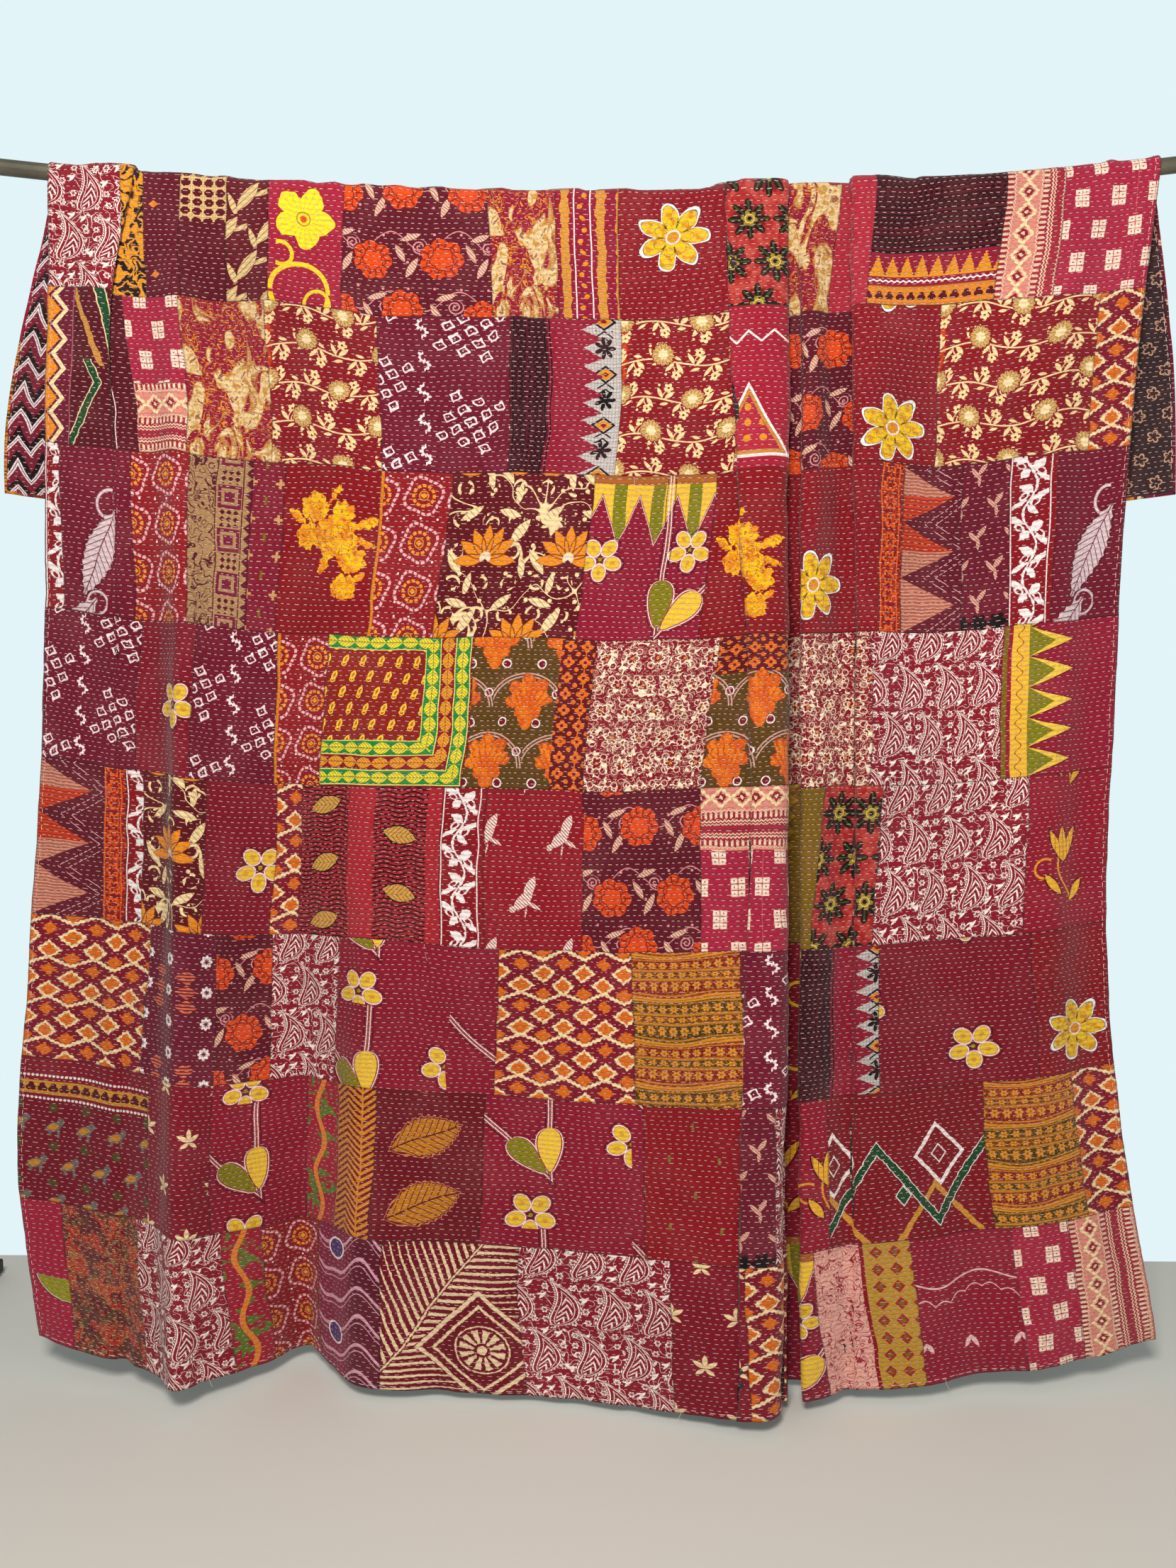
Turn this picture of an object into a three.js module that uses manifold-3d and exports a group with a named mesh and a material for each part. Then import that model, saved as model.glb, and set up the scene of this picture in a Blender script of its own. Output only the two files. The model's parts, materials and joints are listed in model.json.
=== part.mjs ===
// A patchwork quilt hung over the crossbar of a free-standing rack.
// Millimetres, +Z up. X runs along the crossbar, -Y is the side the quilt's long drop hangs on.
import * as THREE from 'three';
import { mergeVertices } from 'three/addons/utils/BufferGeometryUtils.js';
import Module from 'manifold-3d';

const wasm = await Module();
wasm.setup();

// ---- clearances -------------------------------------------------------------------------
const SEAT_GAP = 0.3; // between two pieces that are seated, screwed or glued together
const SLIDE_GAP = 0.3; // radial, where a tube slides in a bore
const ROUND = 24; // sides of a round piece
const SMALL_ROUND = 12; // sides of one under the radius below
const SMALL_R = 10;

// ---- crossbar ---------------------------------------------------------------------------
const BAR_R = 14;
const BAR_WALL = 1.5;
const BAR_HALF_LENGTH = 1400;
const BAR_LOW_HEIGHT = 2136; // axis height at mid-span, the lowest point
const BAR_SAG = 54; // drop from the quilt's edges to mid-span
const LOADED_HALF = 980; // half of the span that carries the quilt
const BAR_STEPS = 9; // straight lengths that follow the sag in each section
const BAR_JOINT_X = 470; // joints between the centre section and the outer ones
const SLEEVE_LENGTH = 160;
const SLEEVE_WALL = 1.5;
const SLEEVE_CLEARANCE = 0.4;
const END_CAP_R = 15.5;
const END_CAP_THICK = 4;
const END_CAP_PLUG = 20;

// ---- stands -----------------------------------------------------------------------------
const STAND_X = 1330; // mast axis from the middle of the rack
const FOOT_LENGTH = 700;
const FOOT_WIDTH = 50;
const FOOT_HEIGHT = 30;
const FOOT_WALL = 2;
const FOOT_CORNER = 4;
const FOOT_CAP_PLATE = 3;
const FOOT_CAP_PLUG = 14;
const PAD_R = 17;
const PAD_THICK = 6;
const PAD_Y = 305;
const SOCKET_PLATE_LENGTH = 110;
const SOCKET_PLATE_WIDTH = 48;
const SOCKET_PLATE_THICK = 5;
const SOCKET_CUP_R = 24;
const SOCKET_CUP_HEIGHT = 55;
const BOLT_R = 4;
const BOLT_CLEARANCE = 0.3;
const BOLT_Y = 42;
const BOLT_LENGTH = 14;
const BOLT_HEAD_R = 7;
const BOLT_HEAD_HEIGHT = 4.5;
const BRACE_R = 7;
const BRACE_FOOT_Y = 235;
const BRACE_TOP_Z = 330;
const LOWER_TUBE_R = 19;
const LOWER_TUBE_WALL = 2;
const LOWER_TUBE_TOP = 1500;
const UPPER_TUBE_R = LOWER_TUBE_R - LOWER_TUBE_WALL - 0.5;
const UPPER_TUBE_WALL = 1.8;
const UPPER_TUBE_BOTTOM = 1000;

// ---- height clamp -----------------------------------------------------------------------
const COLLAR_R = 27;
const COLLAR_BELOW = 28; // how far the collar reaches down the lower tube
const COLLAR_ABOVE = 24;
const CLAMP_BOSS_R = 11;
const CLAMP_BOSS_REACH = 36; // from the mast axis
const CLAMP_SCREW_R = 4;
const CLAMP_KNOB_R = 18;
const CLAMP_KNOB_THICK = 16;

// ---- saddle under each end of the crossbar ----------------------------------------------
const SADDLE_CUP_R = 21;
const SADDLE_CUP_DEPTH = 35;
const SADDLE_PLATE = 6;
const SADDLE_FLOOR = 8;
const SADDLE_LENGTH = 34;
const SADDLE_WIDTH = 50;
const SADDLE_CHEEK_RISE = 20; // above the crossbar's axis
const SADDLE_SLOT_CLEARANCE = 1.5;
const SADDLE_REST_GAP = 0.5;
const SADDLE_SCREW_R = 3;
const SADDLE_KNOB_R = 12;
const SADDLE_KNOB_THICK = 11;
const KNOB_LOBE = 0.12; // depth of a knob's scallops, as a share of its radius
const SCREW_CLEARANCE = 0.3;

// ---- quilt ------------------------------------------------------------------------------
const QUILT_HALF_WIDTH = 978; // as it hangs, gathered into folds
const QUILT_FRONT_DROP = 2140;
const QUILT_BACK_DROP = 600;
const LAYER_THICK = 1;
const LAYER_GAP = 0.3;
const BAR_CLEARANCE = 0.8;
const QUILT_COLUMNS = 26;
const FRONT_ROWS = 8;
const WRAP_ROWS = 8;
const BACK_ROWS = 3;
const HEM_LIFT = 18; // taken up by the slope of the front drop
// [place across the half width, how far forward of the bar the front hem hangs]
const HEM_FORWARD = [
  [-1.0, 25],
  [-0.9, 60],
  [-0.76, 135],
  [-0.7, 135],
  [-0.54, 20],
  [-0.46, 95],
  [-0.25, 120],
  [0.0, 145],
  [0.24, 215],
  [0.31, 205],
  [0.38, 115],
  [0.5, 125],
  [0.75, 75],
  [1.0, 25],
];
const HEM_FLARE = [85, 25]; // how much wider the front hem is at its left and right edges
const BACK_SWELL = 14;

// ---- materials --------------------------------------------------------------------------
const material = (color, roughness, metalness) =>
  new THREE.MeshStandardMaterial({ color, roughness, metalness });
const BRUSHED_STEEL = [0x8d877c, 0.42, 0.9];
const DARK_STEEL = [0x2c2b2a, 0.5, 0.6];
const BLACK_PLASTIC = [0x161616, 0.55, 0.0];
const RUBBER = [0x0e0e0e, 0.9, 0.0];

const rack = new THREE.Group();
rack.name = 'quilt_rack';

function addPiece(parent, name, geometry, look) {
  const mesh = new THREE.Mesh(geometry, material(...look));
  mesh.name = name;
  parent.add(mesh);
  return mesh;
}

// ---- plain solids -----------------------------------------------------------------------
function circlePoints(radius, sides = radius < SMALL_R ? SMALL_ROUND : ROUND) {
  return Array.from({ length: sides }, (_, i) => {
    const a = (2 * Math.PI * i) / sides;
    return new THREE.Vector2(radius * Math.cos(a), radius * Math.sin(a));
  });
}

function ringShape(outer, inner) {
  const shape = new THREE.Shape(circlePoints(outer));
  if (inner > 0) shape.holes.push(new THREE.Path(circlePoints(inner)));
  return shape;
}

const prism = (shape, depth) =>
  new THREE.ExtrudeGeometry(shape, { depth, bevelEnabled: false });

const tubeZ = (outer, inner, bottom, top) =>
  prism(ringShape(outer, inner), top - bottom).translate(0, 0, bottom);

function boxBetween(low, high) {
  const size = high.map((v, i) => v - low[i]);
  const middle = high.map((v, i) => (v + low[i]) / 2);
  return new THREE.BoxGeometry(...size).translate(...middle);
}

function roundedRectangle(width, height, corner) {
  const points = [];
  const centres = [[1, 1], [-1, 1], [-1, -1], [1, -1]];
  centres.forEach(([sx, sy], quarter) => {
    for (let k = 0; k <= 3; k += 1) {
      const a = (quarter + k / 3) * (Math.PI / 2);
      const x = sx * (width / 2 - corner) + corner * Math.cos(a);
      const y = sy * (height / 2 - corner) + corner * Math.sin(a);
      points.push(new THREE.Vector2(x, y));
    }
  });
  return points;
}

// A scalloped knob from 0 to its thickness along Z.
function knobZ(radius, thick) {
  const points = Array.from({ length: 36 }, (_, i) => {
    const a = (2 * Math.PI * i) / 36;
    const r = radius * (1 - KNOB_LOBE / 2 + (KNOB_LOBE / 2) * Math.cos(6 * a));
    return new THREE.Vector2(r * Math.cos(a), r * Math.sin(a));
  });
  return prism(new THREE.Shape(points), thick);
}

// ---- booleans ---------------------------------------------------------------------------
function toSolid(geometry) {
  const bare = new THREE.BufferGeometry();
  bare.setAttribute('position', geometry.getAttribute('position').clone());
  if (geometry.index) bare.setIndex(geometry.index.clone());
  const merged = mergeVertices(bare, 1e-4);
  const mesh = new wasm.Mesh({
    numProp: 3,
    vertProperties: new Float32Array(merged.getAttribute('position').array),
    triVerts: new Uint32Array(merged.index.array),
  });
  return new wasm.Manifold(mesh);
}

function toGeometry(solid) {
  const mesh = solid.getMesh();
  const geometry = new THREE.BufferGeometry();
  geometry.setAttribute('position', new THREE.BufferAttribute(mesh.vertProperties, 3));
  geometry.setIndex(new THREE.BufferAttribute(mesh.triVerts, 1));
  geometry.computeVertexNormals();
  return geometry;
}

function combine(first, { add = [], cut = [] }) {
  const joined = add.reduce((solid, g) => solid.add(toSolid(g)), toSolid(first));
  return toGeometry(cut.reduce((solid, g) => solid.subtract(toSolid(g)), joined));
}

// ---- crossbar ---------------------------------------------------------------------------
const BAR_END_SLOPE = (2 * BAR_SAG) / LOADED_HALF;

// The bar sags in a parabola under the quilt and runs straight to its supports beyond it.
function barHeight(x) {
  const d = Math.abs(x);
  if (d <= LOADED_HALF) return BAR_LOW_HEIGHT + BAR_SAG * (d / LOADED_HALF) ** 2;
  return BAR_LOW_HEIGHT + BAR_SAG + (d - LOADED_HALF) * BAR_END_SLOPE;
}

class BarCurve extends THREE.Curve {
  constructor(from, to) {
    super();
    this.from = from;
    this.to = to;
  }

  getPoint(t, target = new THREE.Vector3()) {
    const x = this.from + (this.to - this.from) * t;
    return target.set(x, 0, barHeight(x));
  }
}

function barTube(from, to, outer, inner, steps) {
  const extrudePath = new BarCurve(from, to);
  return new THREE.ExtrudeGeometry(ringShape(outer, inner), { steps, extrudePath });
}

const barInner = BAR_R - BAR_WALL;
const sleeveOuter = barInner - SLEEVE_CLEARANCE;
const jointGap = SEAT_GAP / 2;
const sections = [
  ['crossbar_left', -BAR_HALF_LENGTH, -BAR_JOINT_X - jointGap],
  ['crossbar_centre', -BAR_JOINT_X + jointGap, BAR_JOINT_X - jointGap],
  ['crossbar_right', BAR_JOINT_X + jointGap, BAR_HALF_LENGTH],
];
for (const [name, from, to] of sections) {
  addPiece(rack, name, barTube(from, to, BAR_R, barInner, BAR_STEPS), BRUSHED_STEEL);
}
for (const [name, middle] of [['sleeve_left', -BAR_JOINT_X], ['sleeve_right', BAR_JOINT_X]]) {
  const half = SLEEVE_LENGTH / 2;
  const sleeve = barTube(middle - half, middle + half, sleeveOuter, sleeveOuter - SLEEVE_WALL, 2);
  addPiece(rack, name, sleeve, DARK_STEEL);
}

// ---- one stand, side is -1 for the left and +1 for the right ------------------------------
function buildStand(side, label) {
  const stand = new THREE.Group();
  stand.name = `${label}_stand`;
  stand.position.x = side * STAND_X;
  rack.add(stand);
  const piece = (name, geometry, look) => addPiece(stand, `${label}_${name}`, geometry, look);

  const footBottom = PAD_THICK + SEAT_GAP;
  const footTop = footBottom + FOOT_HEIGHT;
  const footMiddle = footBottom + FOOT_HEIGHT / 2;
  const alongY = (geometry, start) =>
    geometry.rotateX(Math.PI / 2).translate(0, start, footMiddle);

  // foot: a rectangular tube, its end caps and its pads
  const footShape = new THREE.Shape(roundedRectangle(FOOT_WIDTH, FOOT_HEIGHT, FOOT_CORNER));
  const inside = roundedRectangle(
    FOOT_WIDTH - 2 * FOOT_WALL,
    FOOT_HEIGHT - 2 * FOOT_WALL,
    FOOT_CORNER - FOOT_WALL,
  );
  footShape.holes.push(new THREE.Path(inside));
  const boltHole = (y) =>
    tubeZ(BOLT_R + BOLT_CLEARANCE, 0, footTop - 10, footTop + 40).translate(0, y, 0);
  const boltHoles = () => [boltHole(-BOLT_Y), boltHole(BOLT_Y)];
  const foot = combine(alongY(prism(footShape, FOOT_LENGTH), FOOT_LENGTH / 2), {
    cut: boltHoles(),
  });
  piece('foot_rail', foot, DARK_STEEL);

  const plugShape = new THREE.Shape(
    roundedRectangle(
      FOOT_WIDTH - 2 * FOOT_WALL - 2 * SEAT_GAP,
      FOOT_HEIGHT - 2 * FOOT_WALL - 2 * SEAT_GAP,
      FOOT_CORNER - FOOT_WALL,
    ),
  );
  const plateShape = new THREE.Shape(roundedRectangle(FOOT_WIDTH, FOOT_HEIGHT, FOOT_CORNER));
  for (const [end, sign] of [['front', -1], ['back', 1]]) {
    const outer = sign * (FOOT_LENGTH / 2 + SEAT_GAP);
    const plateStart = sign > 0 ? outer + FOOT_CAP_PLATE : outer;
    const plugDepth = FOOT_CAP_PLUG + SEAT_GAP + 1;
    const plugStart = sign > 0 ? outer + 1 : outer + plugDepth - 1;
    const cap = combine(alongY(prism(plateShape, FOOT_CAP_PLATE), plateStart), {
      add: [alongY(prism(plugShape, plugDepth), plugStart)],
    });
    piece(`foot_cap_${end}`, cap, BLACK_PLASTIC);
    const pad = tubeZ(PAD_R, 0, 0, PAD_THICK).translate(0, sign * PAD_Y, 0);
    piece(`pad_${end}`, pad, RUBBER);
  }

  // socket that holds the mast, bolted to the foot
  const plateBottom = footTop + SEAT_GAP;
  const plateTop = plateBottom + SOCKET_PLATE_THICK;
  const mastBottom = plateTop + SEAT_GAP;
  const plate = boxBetween(
    [-SOCKET_PLATE_WIDTH / 2, -SOCKET_PLATE_LENGTH / 2, plateBottom],
    [SOCKET_PLATE_WIDTH / 2, SOCKET_PLATE_LENGTH / 2, plateTop],
  );
  const cup = tubeZ(SOCKET_CUP_R, 0, plateTop - 1, plateTop + SOCKET_CUP_HEIGHT);
  const cupBore = tubeZ(LOWER_TUBE_R + SLIDE_GAP, 0, plateTop, plateTop + SOCKET_CUP_HEIGHT + 5);
  piece('socket', combine(plate, { add: [cup], cut: [cupBore, ...boltHoles()] }), DARK_STEEL);
  for (const [end, sign] of [['front', -1], ['back', 1]]) {
    const headBottom = plateTop + SEAT_GAP;
    const shank = tubeZ(BOLT_R, 0, headBottom - BOLT_LENGTH, headBottom + 1);
    const head = prism(new THREE.Shape(circlePoints(BOLT_HEAD_R, 6)), BOLT_HEAD_HEIGHT);
    head.translate(0, 0, headBottom);
    const bolt = combine(head, { add: [shank] }).translate(0, sign * BOLT_Y, 0);
    piece(`socket_bolt_${end}`, bolt, BRUSHED_STEEL);
  }

  // lower tube and the two struts that steady it
  const lowerTube = tubeZ(LOWER_TUBE_R, LOWER_TUBE_R - LOWER_TUBE_WALL, mastBottom, LOWER_TUBE_TOP);
  piece('lower_tube', lowerTube, BRUSHED_STEEL);
  const mastClear = tubeZ(LOWER_TUBE_R + SEAT_GAP, 0, 0, LOWER_TUBE_TOP);
  const footClear = boxBetween(
    [-FOOT_WIDTH, -FOOT_LENGTH, -100],
    [FOOT_WIDTH, FOOT_LENGTH, footTop + SEAT_GAP],
  );
  for (const [end, sign] of [['front', -1], ['back', 1]]) {
    const rise = BRACE_TOP_Z - footTop;
    const length = Math.hypot(BRACE_FOOT_Y, rise);
    const tilt = Math.atan2(BRACE_FOOT_Y, rise);
    const strut = tubeZ(BRACE_R, 0, -20, length);
    strut.rotateX(sign * tilt).translate(0, sign * BRACE_FOOT_Y, footTop);
    piece(`brace_${end}`, combine(strut, { cut: [mastClear, footClear] }), DARK_STEEL);
  }

  // height clamp at the top of the lower tube
  const collarBottom = LOWER_TUBE_TOP - COLLAR_BELOW;
  const collarTop = LOWER_TUBE_TOP + SEAT_GAP + COLLAR_ABOVE;
  const clampZ = LOWER_TUBE_TOP + SEAT_GAP + COLLAR_ABOVE / 2;
  const outwards = (geometry, start, z) =>
    geometry.rotateY((side * Math.PI) / 2).translate(side * start, 0, z);
  const boss = outwards(tubeZ(CLAMP_BOSS_R, 0, 0, CLAMP_BOSS_REACH - 20), 20, clampZ);
  const screwHole = outwards(
    tubeZ(CLAMP_SCREW_R + SCREW_CLEARANCE, 0, 0, CLAMP_BOSS_REACH + 5),
    UPPER_TUBE_R - 2,
    clampZ,
  );
  const collar = combine(tubeZ(COLLAR_R, 0, collarBottom, collarTop), {
    add: [boss],
    cut: [
      tubeZ(LOWER_TUBE_R + SLIDE_GAP, 0, collarBottom - 5, LOWER_TUBE_TOP + SEAT_GAP),
      tubeZ(UPPER_TUBE_R + SLIDE_GAP, 0, collarBottom - 5, collarTop + 5),
      screwHole,
    ],
  });
  piece('clamp_collar', collar, BLACK_PLASTIC);
  const screwStart = UPPER_TUBE_R + SEAT_GAP;
  const knobStart = CLAMP_BOSS_REACH + 2;
  const clampKnob = combine(outwards(knobZ(CLAMP_KNOB_R, CLAMP_KNOB_THICK), knobStart, clampZ), {
    add: [outwards(tubeZ(CLAMP_SCREW_R, 0, 0, knobStart + 2 - screwStart), screwStart, clampZ)],
  });
  piece('clamp_knob', clampKnob, BLACK_PLASTIC);

  // upper tube, saddle and the screw that pins the crossbar in it
  const axisZ = barHeight(STAND_X);
  const slotBottom = axisZ - BAR_R - SADDLE_REST_GAP;
  const blockBottom = slotBottom - SADDLE_FLOOR;
  const cupTop = blockBottom + 1;
  const tubeTop = blockBottom - SADDLE_PLATE - SEAT_GAP;
  const upperTube = tubeZ(
    UPPER_TUBE_R,
    UPPER_TUBE_R - UPPER_TUBE_WALL,
    UPPER_TUBE_BOTTOM,
    tubeTop,
  );
  piece('upper_tube', upperTube, BRUSHED_STEEL);
  const saddleCup = tubeZ(SADDLE_CUP_R, 0, tubeTop - SADDLE_CUP_DEPTH, cupTop);
  const block = boxBetween(
    [-SADDLE_LENGTH / 2, -SADDLE_WIDTH / 2, blockBottom],
    [SADDLE_LENGTH / 2, SADDLE_WIDTH / 2, axisZ + SADDLE_CHEEK_RISE],
  );
  const slotR = BAR_R + SADDLE_SLOT_CLEARANCE;
  const lean = Math.atan(BAR_END_SLOPE) * side;
  const slotZ = axisZ + SADDLE_SLOT_CLEARANCE - SADDLE_REST_GAP;
  const reach = 2 * SADDLE_LENGTH;
  const slotRound = tubeZ(slotR, 0, -reach, reach).rotateY(Math.PI / 2);
  const slotOpen = boxBetween([-reach, -slotR, 0], [reach, slotR, 80]);
  const slotCuts = [slotRound, slotOpen].map((g) => g.rotateY(-lean).translate(0, 0, slotZ));
  const backwards = (geometry, start) =>
    geometry.rotateX(-Math.PI / 2).translate(0, start, axisZ);
  const pinHole = backwards(tubeZ(SADDLE_SCREW_R + SCREW_CLEARANCE, 0, 0, SADDLE_WIDTH), BAR_R - 2);
  const saddle = combine(saddleCup, {
    add: [block],
    cut: [
      tubeZ(UPPER_TUBE_R + SLIDE_GAP, 0, tubeTop - SADDLE_CUP_DEPTH - 5, tubeTop + SEAT_GAP),
      ...slotCuts,
      pinHole,
    ],
  });
  piece('saddle', saddle, BLACK_PLASTIC);
  const pinStart = BAR_R + SEAT_GAP;
  const pinKnobStart = SADDLE_WIDTH / 2 + 2;
  const pin = combine(backwards(knobZ(SADDLE_KNOB_R, SADDLE_KNOB_THICK), pinKnobStart), {
    add: [backwards(tubeZ(SADDLE_SCREW_R, 0, 0, pinKnobStart + 2 - pinStart), pinStart)],
  });
  piece('saddle_screw', pin, BLACK_PLASTIC);

  // plug in the open end of the crossbar
  const plugR = barInner - SLEEVE_CLEARANCE;
  const profile = [
    [0, -END_CAP_PLUG],
    [plugR, -END_CAP_PLUG],
    [plugR, SEAT_GAP],
    [END_CAP_R, SEAT_GAP],
    [END_CAP_R, SEAT_GAP + END_CAP_THICK * 0.6],
    [END_CAP_R - 2, SEAT_GAP + END_CAP_THICK],
    [0, SEAT_GAP + END_CAP_THICK],
  ].map(([r, y]) => new THREE.Vector2(r, y));
  const endCap = new THREE.LatheGeometry(profile, ROUND);
  endCap.rotateZ((-side * Math.PI) / 2).rotateY(-lean);
  endCap.translate(side * (BAR_HALF_LENGTH - STAND_X), 0, barHeight(BAR_HALF_LENGTH));
  piece('end_cap', endCap, BLACK_PLASTIC);
}

buildStand(-1, 'left');
buildStand(1, 'right');

// ---- quilt ------------------------------------------------------------------------------
// Smooth steps between the rows of a table of [place, value].
function smoothTable(table, place) {
  const last = table.length - 1;
  if (place <= table[0][0]) return table[0][1];
  if (place >= table[last][0]) return table[last][1];
  const k = table.findIndex(([p]) => p > place) - 1;
  const [p0, v0] = table[k];
  const [p1, v1] = table[k + 1];
  const t = (place - p0) / (p1 - p0);
  return v0 + (v1 - v0) * t * t * (3 - 2 * t);
}

// Stations along the cloth: the front hem, up to the bar, over it and down the back.
const stations = [];
for (let j = 0; j < FRONT_ROWS; j += 1) stations.push({ part: 'front', t: 1 - j / FRONT_ROWS });
for (let j = 0; j <= WRAP_ROWS; j += 1) stations.push({ part: 'wrap', t: j / WRAP_ROWS });
for (let j = 1; j <= BACK_ROWS; j += 1) stations.push({ part: 'back', t: j / BACK_ROWS });

// A point of the surface that lies the given distance outside the bar.
function quiltPoint(across, station, outside) {
  const radius = BAR_R + BAR_CLEARANCE + outside;
  const x = across * QUILT_HALF_WIDTH;
  const axis = barHeight(x);
  if (station.part === 'wrap') {
    const a = Math.PI * (1 - station.t);
    return [x, radius * Math.cos(a), axis + radius * Math.sin(a)];
  }
  const { t } = station;
  if (station.part === 'back') {
    const swell = BACK_SWELL * Math.sin((Math.PI / 2) * t) * (1 + Math.sin(5 * across));
    return [x, radius + swell, axis - QUILT_BACK_DROP * t];
  }
  const forward = smoothTable(HEM_FORWARD, across) * t ** 1.3;
  const flare = (across < 0 ? -HEM_FLARE[0] : HEM_FLARE[1]) * across ** 2 * t ** 2;
  const drop = (QUILT_FRONT_DROP - HEM_LIFT) * t;
  return [x + flare, -radius - forward, axis - drop];
}

// A closed layer of cloth between two distances from the bar.
function clothLayer(near, far) {
  const columns = QUILT_COLUMNS + 1;
  const rows = stations.length;
  const count = columns * rows;
  const positions = [];
  for (const outside of [near, far]) {
    for (let i = 0; i < columns; i += 1) {
      const across = (2 * i) / QUILT_COLUMNS - 1;
      for (const station of stations) positions.push(...quiltPoint(across, station, outside));
    }
  }
  const index = [];
  const quad = (a, b, c, d) => index.push(a, b, c, a, c, d);
  const at = (i, j, far_) => (far_ ? count : 0) + i * rows + j;
  for (let i = 0; i < columns - 1; i += 1) {
    for (let j = 0; j < rows - 1; j += 1) {
      quad(at(i, j, 1), at(i + 1, j, 1), at(i + 1, j + 1, 1), at(i, j + 1, 1));
      quad(at(i, j, 0), at(i, j + 1, 0), at(i + 1, j + 1, 0), at(i + 1, j, 0));
    }
    quad(at(i, 0, 0), at(i + 1, 0, 0), at(i + 1, 0, 1), at(i, 0, 1));
    quad(at(i, rows - 1, 1), at(i + 1, rows - 1, 1), at(i + 1, rows - 1, 0), at(i, rows - 1, 0));
  }
  for (let j = 0; j < rows - 1; j += 1) {
    quad(at(0, j, 1), at(0, j + 1, 1), at(0, j + 1, 0), at(0, j, 0));
    const e = columns - 1;
    quad(at(e, j, 0), at(e, j + 1, 0), at(e, j + 1, 1), at(e, j, 1));
  }
  const geometry = new THREE.BufferGeometry();
  geometry.setAttribute('position', new THREE.Float32BufferAttribute(positions, 3));
  geometry.setIndex(index);
  geometry.computeVertexNormals();
  return geometry;
}

addPiece(rack, 'quilt_backing', clothLayer(0, LAYER_THICK), [0x2b1418, 0.95, 0.0]);
const topNear = LAYER_THICK + LAYER_GAP;
addPiece(rack, 'quilt_patchwork_top', clothLayer(topNear, topNear + LAYER_THICK), [0x8f1f33, 0.92, 0.0]);

export default rack;
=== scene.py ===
import json
import math

import bpy
import numpy as np
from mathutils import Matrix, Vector

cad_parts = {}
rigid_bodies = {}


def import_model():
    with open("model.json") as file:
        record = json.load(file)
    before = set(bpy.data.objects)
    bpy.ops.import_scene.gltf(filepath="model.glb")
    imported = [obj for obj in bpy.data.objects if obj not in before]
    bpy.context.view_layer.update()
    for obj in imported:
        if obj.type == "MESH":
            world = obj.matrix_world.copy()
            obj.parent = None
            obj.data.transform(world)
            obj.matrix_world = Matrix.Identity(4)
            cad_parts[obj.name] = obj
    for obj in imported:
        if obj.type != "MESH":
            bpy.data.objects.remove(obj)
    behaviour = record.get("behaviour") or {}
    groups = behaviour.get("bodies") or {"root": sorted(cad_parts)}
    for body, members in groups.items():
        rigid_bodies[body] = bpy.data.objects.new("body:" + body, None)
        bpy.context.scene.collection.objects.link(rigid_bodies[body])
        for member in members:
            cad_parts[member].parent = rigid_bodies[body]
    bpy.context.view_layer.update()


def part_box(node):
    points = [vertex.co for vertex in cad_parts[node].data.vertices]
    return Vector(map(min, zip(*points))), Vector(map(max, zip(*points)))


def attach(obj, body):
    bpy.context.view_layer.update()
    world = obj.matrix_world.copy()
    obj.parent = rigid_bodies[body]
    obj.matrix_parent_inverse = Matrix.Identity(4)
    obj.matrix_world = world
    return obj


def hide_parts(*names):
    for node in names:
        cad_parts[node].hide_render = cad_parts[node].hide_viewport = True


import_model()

RNG_SEED = 7

# ------------------------------------------------------------------ sizes, in metres
QUILT_WIDTH = 2.286
QUILT_LENGTH = 2.743
ROWS = 10
ROW = QUILT_LENGTH / ROWS
FRONT_DROP = 2.122  # from the bar's axis height down to the front hem, along the cloth
LAYER = 0.0022  # both cloths and the thread between them
HUG = 0.0021  # the cloth's middle surface lies this far outside the bar
COLUMNS = 360
CELLS_PER_ROW = 22
CELLS_OVER_BAR = 52
BAR_ROW = 7  # the row of patches that lies over the bar

# ------------------------------------------------------------------ the bar, read from the frame
lo, hi = (Vector(p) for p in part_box("crossbar_centre"))
BAR_R = (hi.y - lo.y) / 2
BAR_LOW = lo.z + BAR_R
BAR_CURVE = (hi.z - BAR_R - BAR_LOW) / hi.x**2
WRAP_R = BAR_R + HUG
WRAP = math.pi / 2 * WRAP_R
CREST = FRONT_DROP + WRAP  # length coordinate of the line that lies on top of the bar


def bar_axis(x):
    return BAR_LOW + BAR_CURVE * x * x


# ------------------------------------------------------------------ smooth noise
TABLE = 257


def random_table(seed):
    return np.random.default_rng(seed).uniform(-1, 1, (TABLE, TABLE))


def noise(u, v, cell_u, cell_v, seed):
    """Smooth value noise from -1 to 1 with cells of the given size."""
    table = random_table(seed)
    a, b = u / cell_u + 40, v / cell_v + 40
    i, j = np.floor(a).astype(int), np.floor(b).astype(int)
    s, t = a - i, b - j
    s, t = s * s * (3 - 2 * s), t * t * (3 - 2 * t)
    g = lambda p, q: table[(i + p) % TABLE, (j + q) % TABLE]
    return (g(0, 0) * (1 - s) + g(1, 0) * s) * (1 - t) + (g(0, 1) * (1 - s) + g(1, 1) * s) * t


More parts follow.
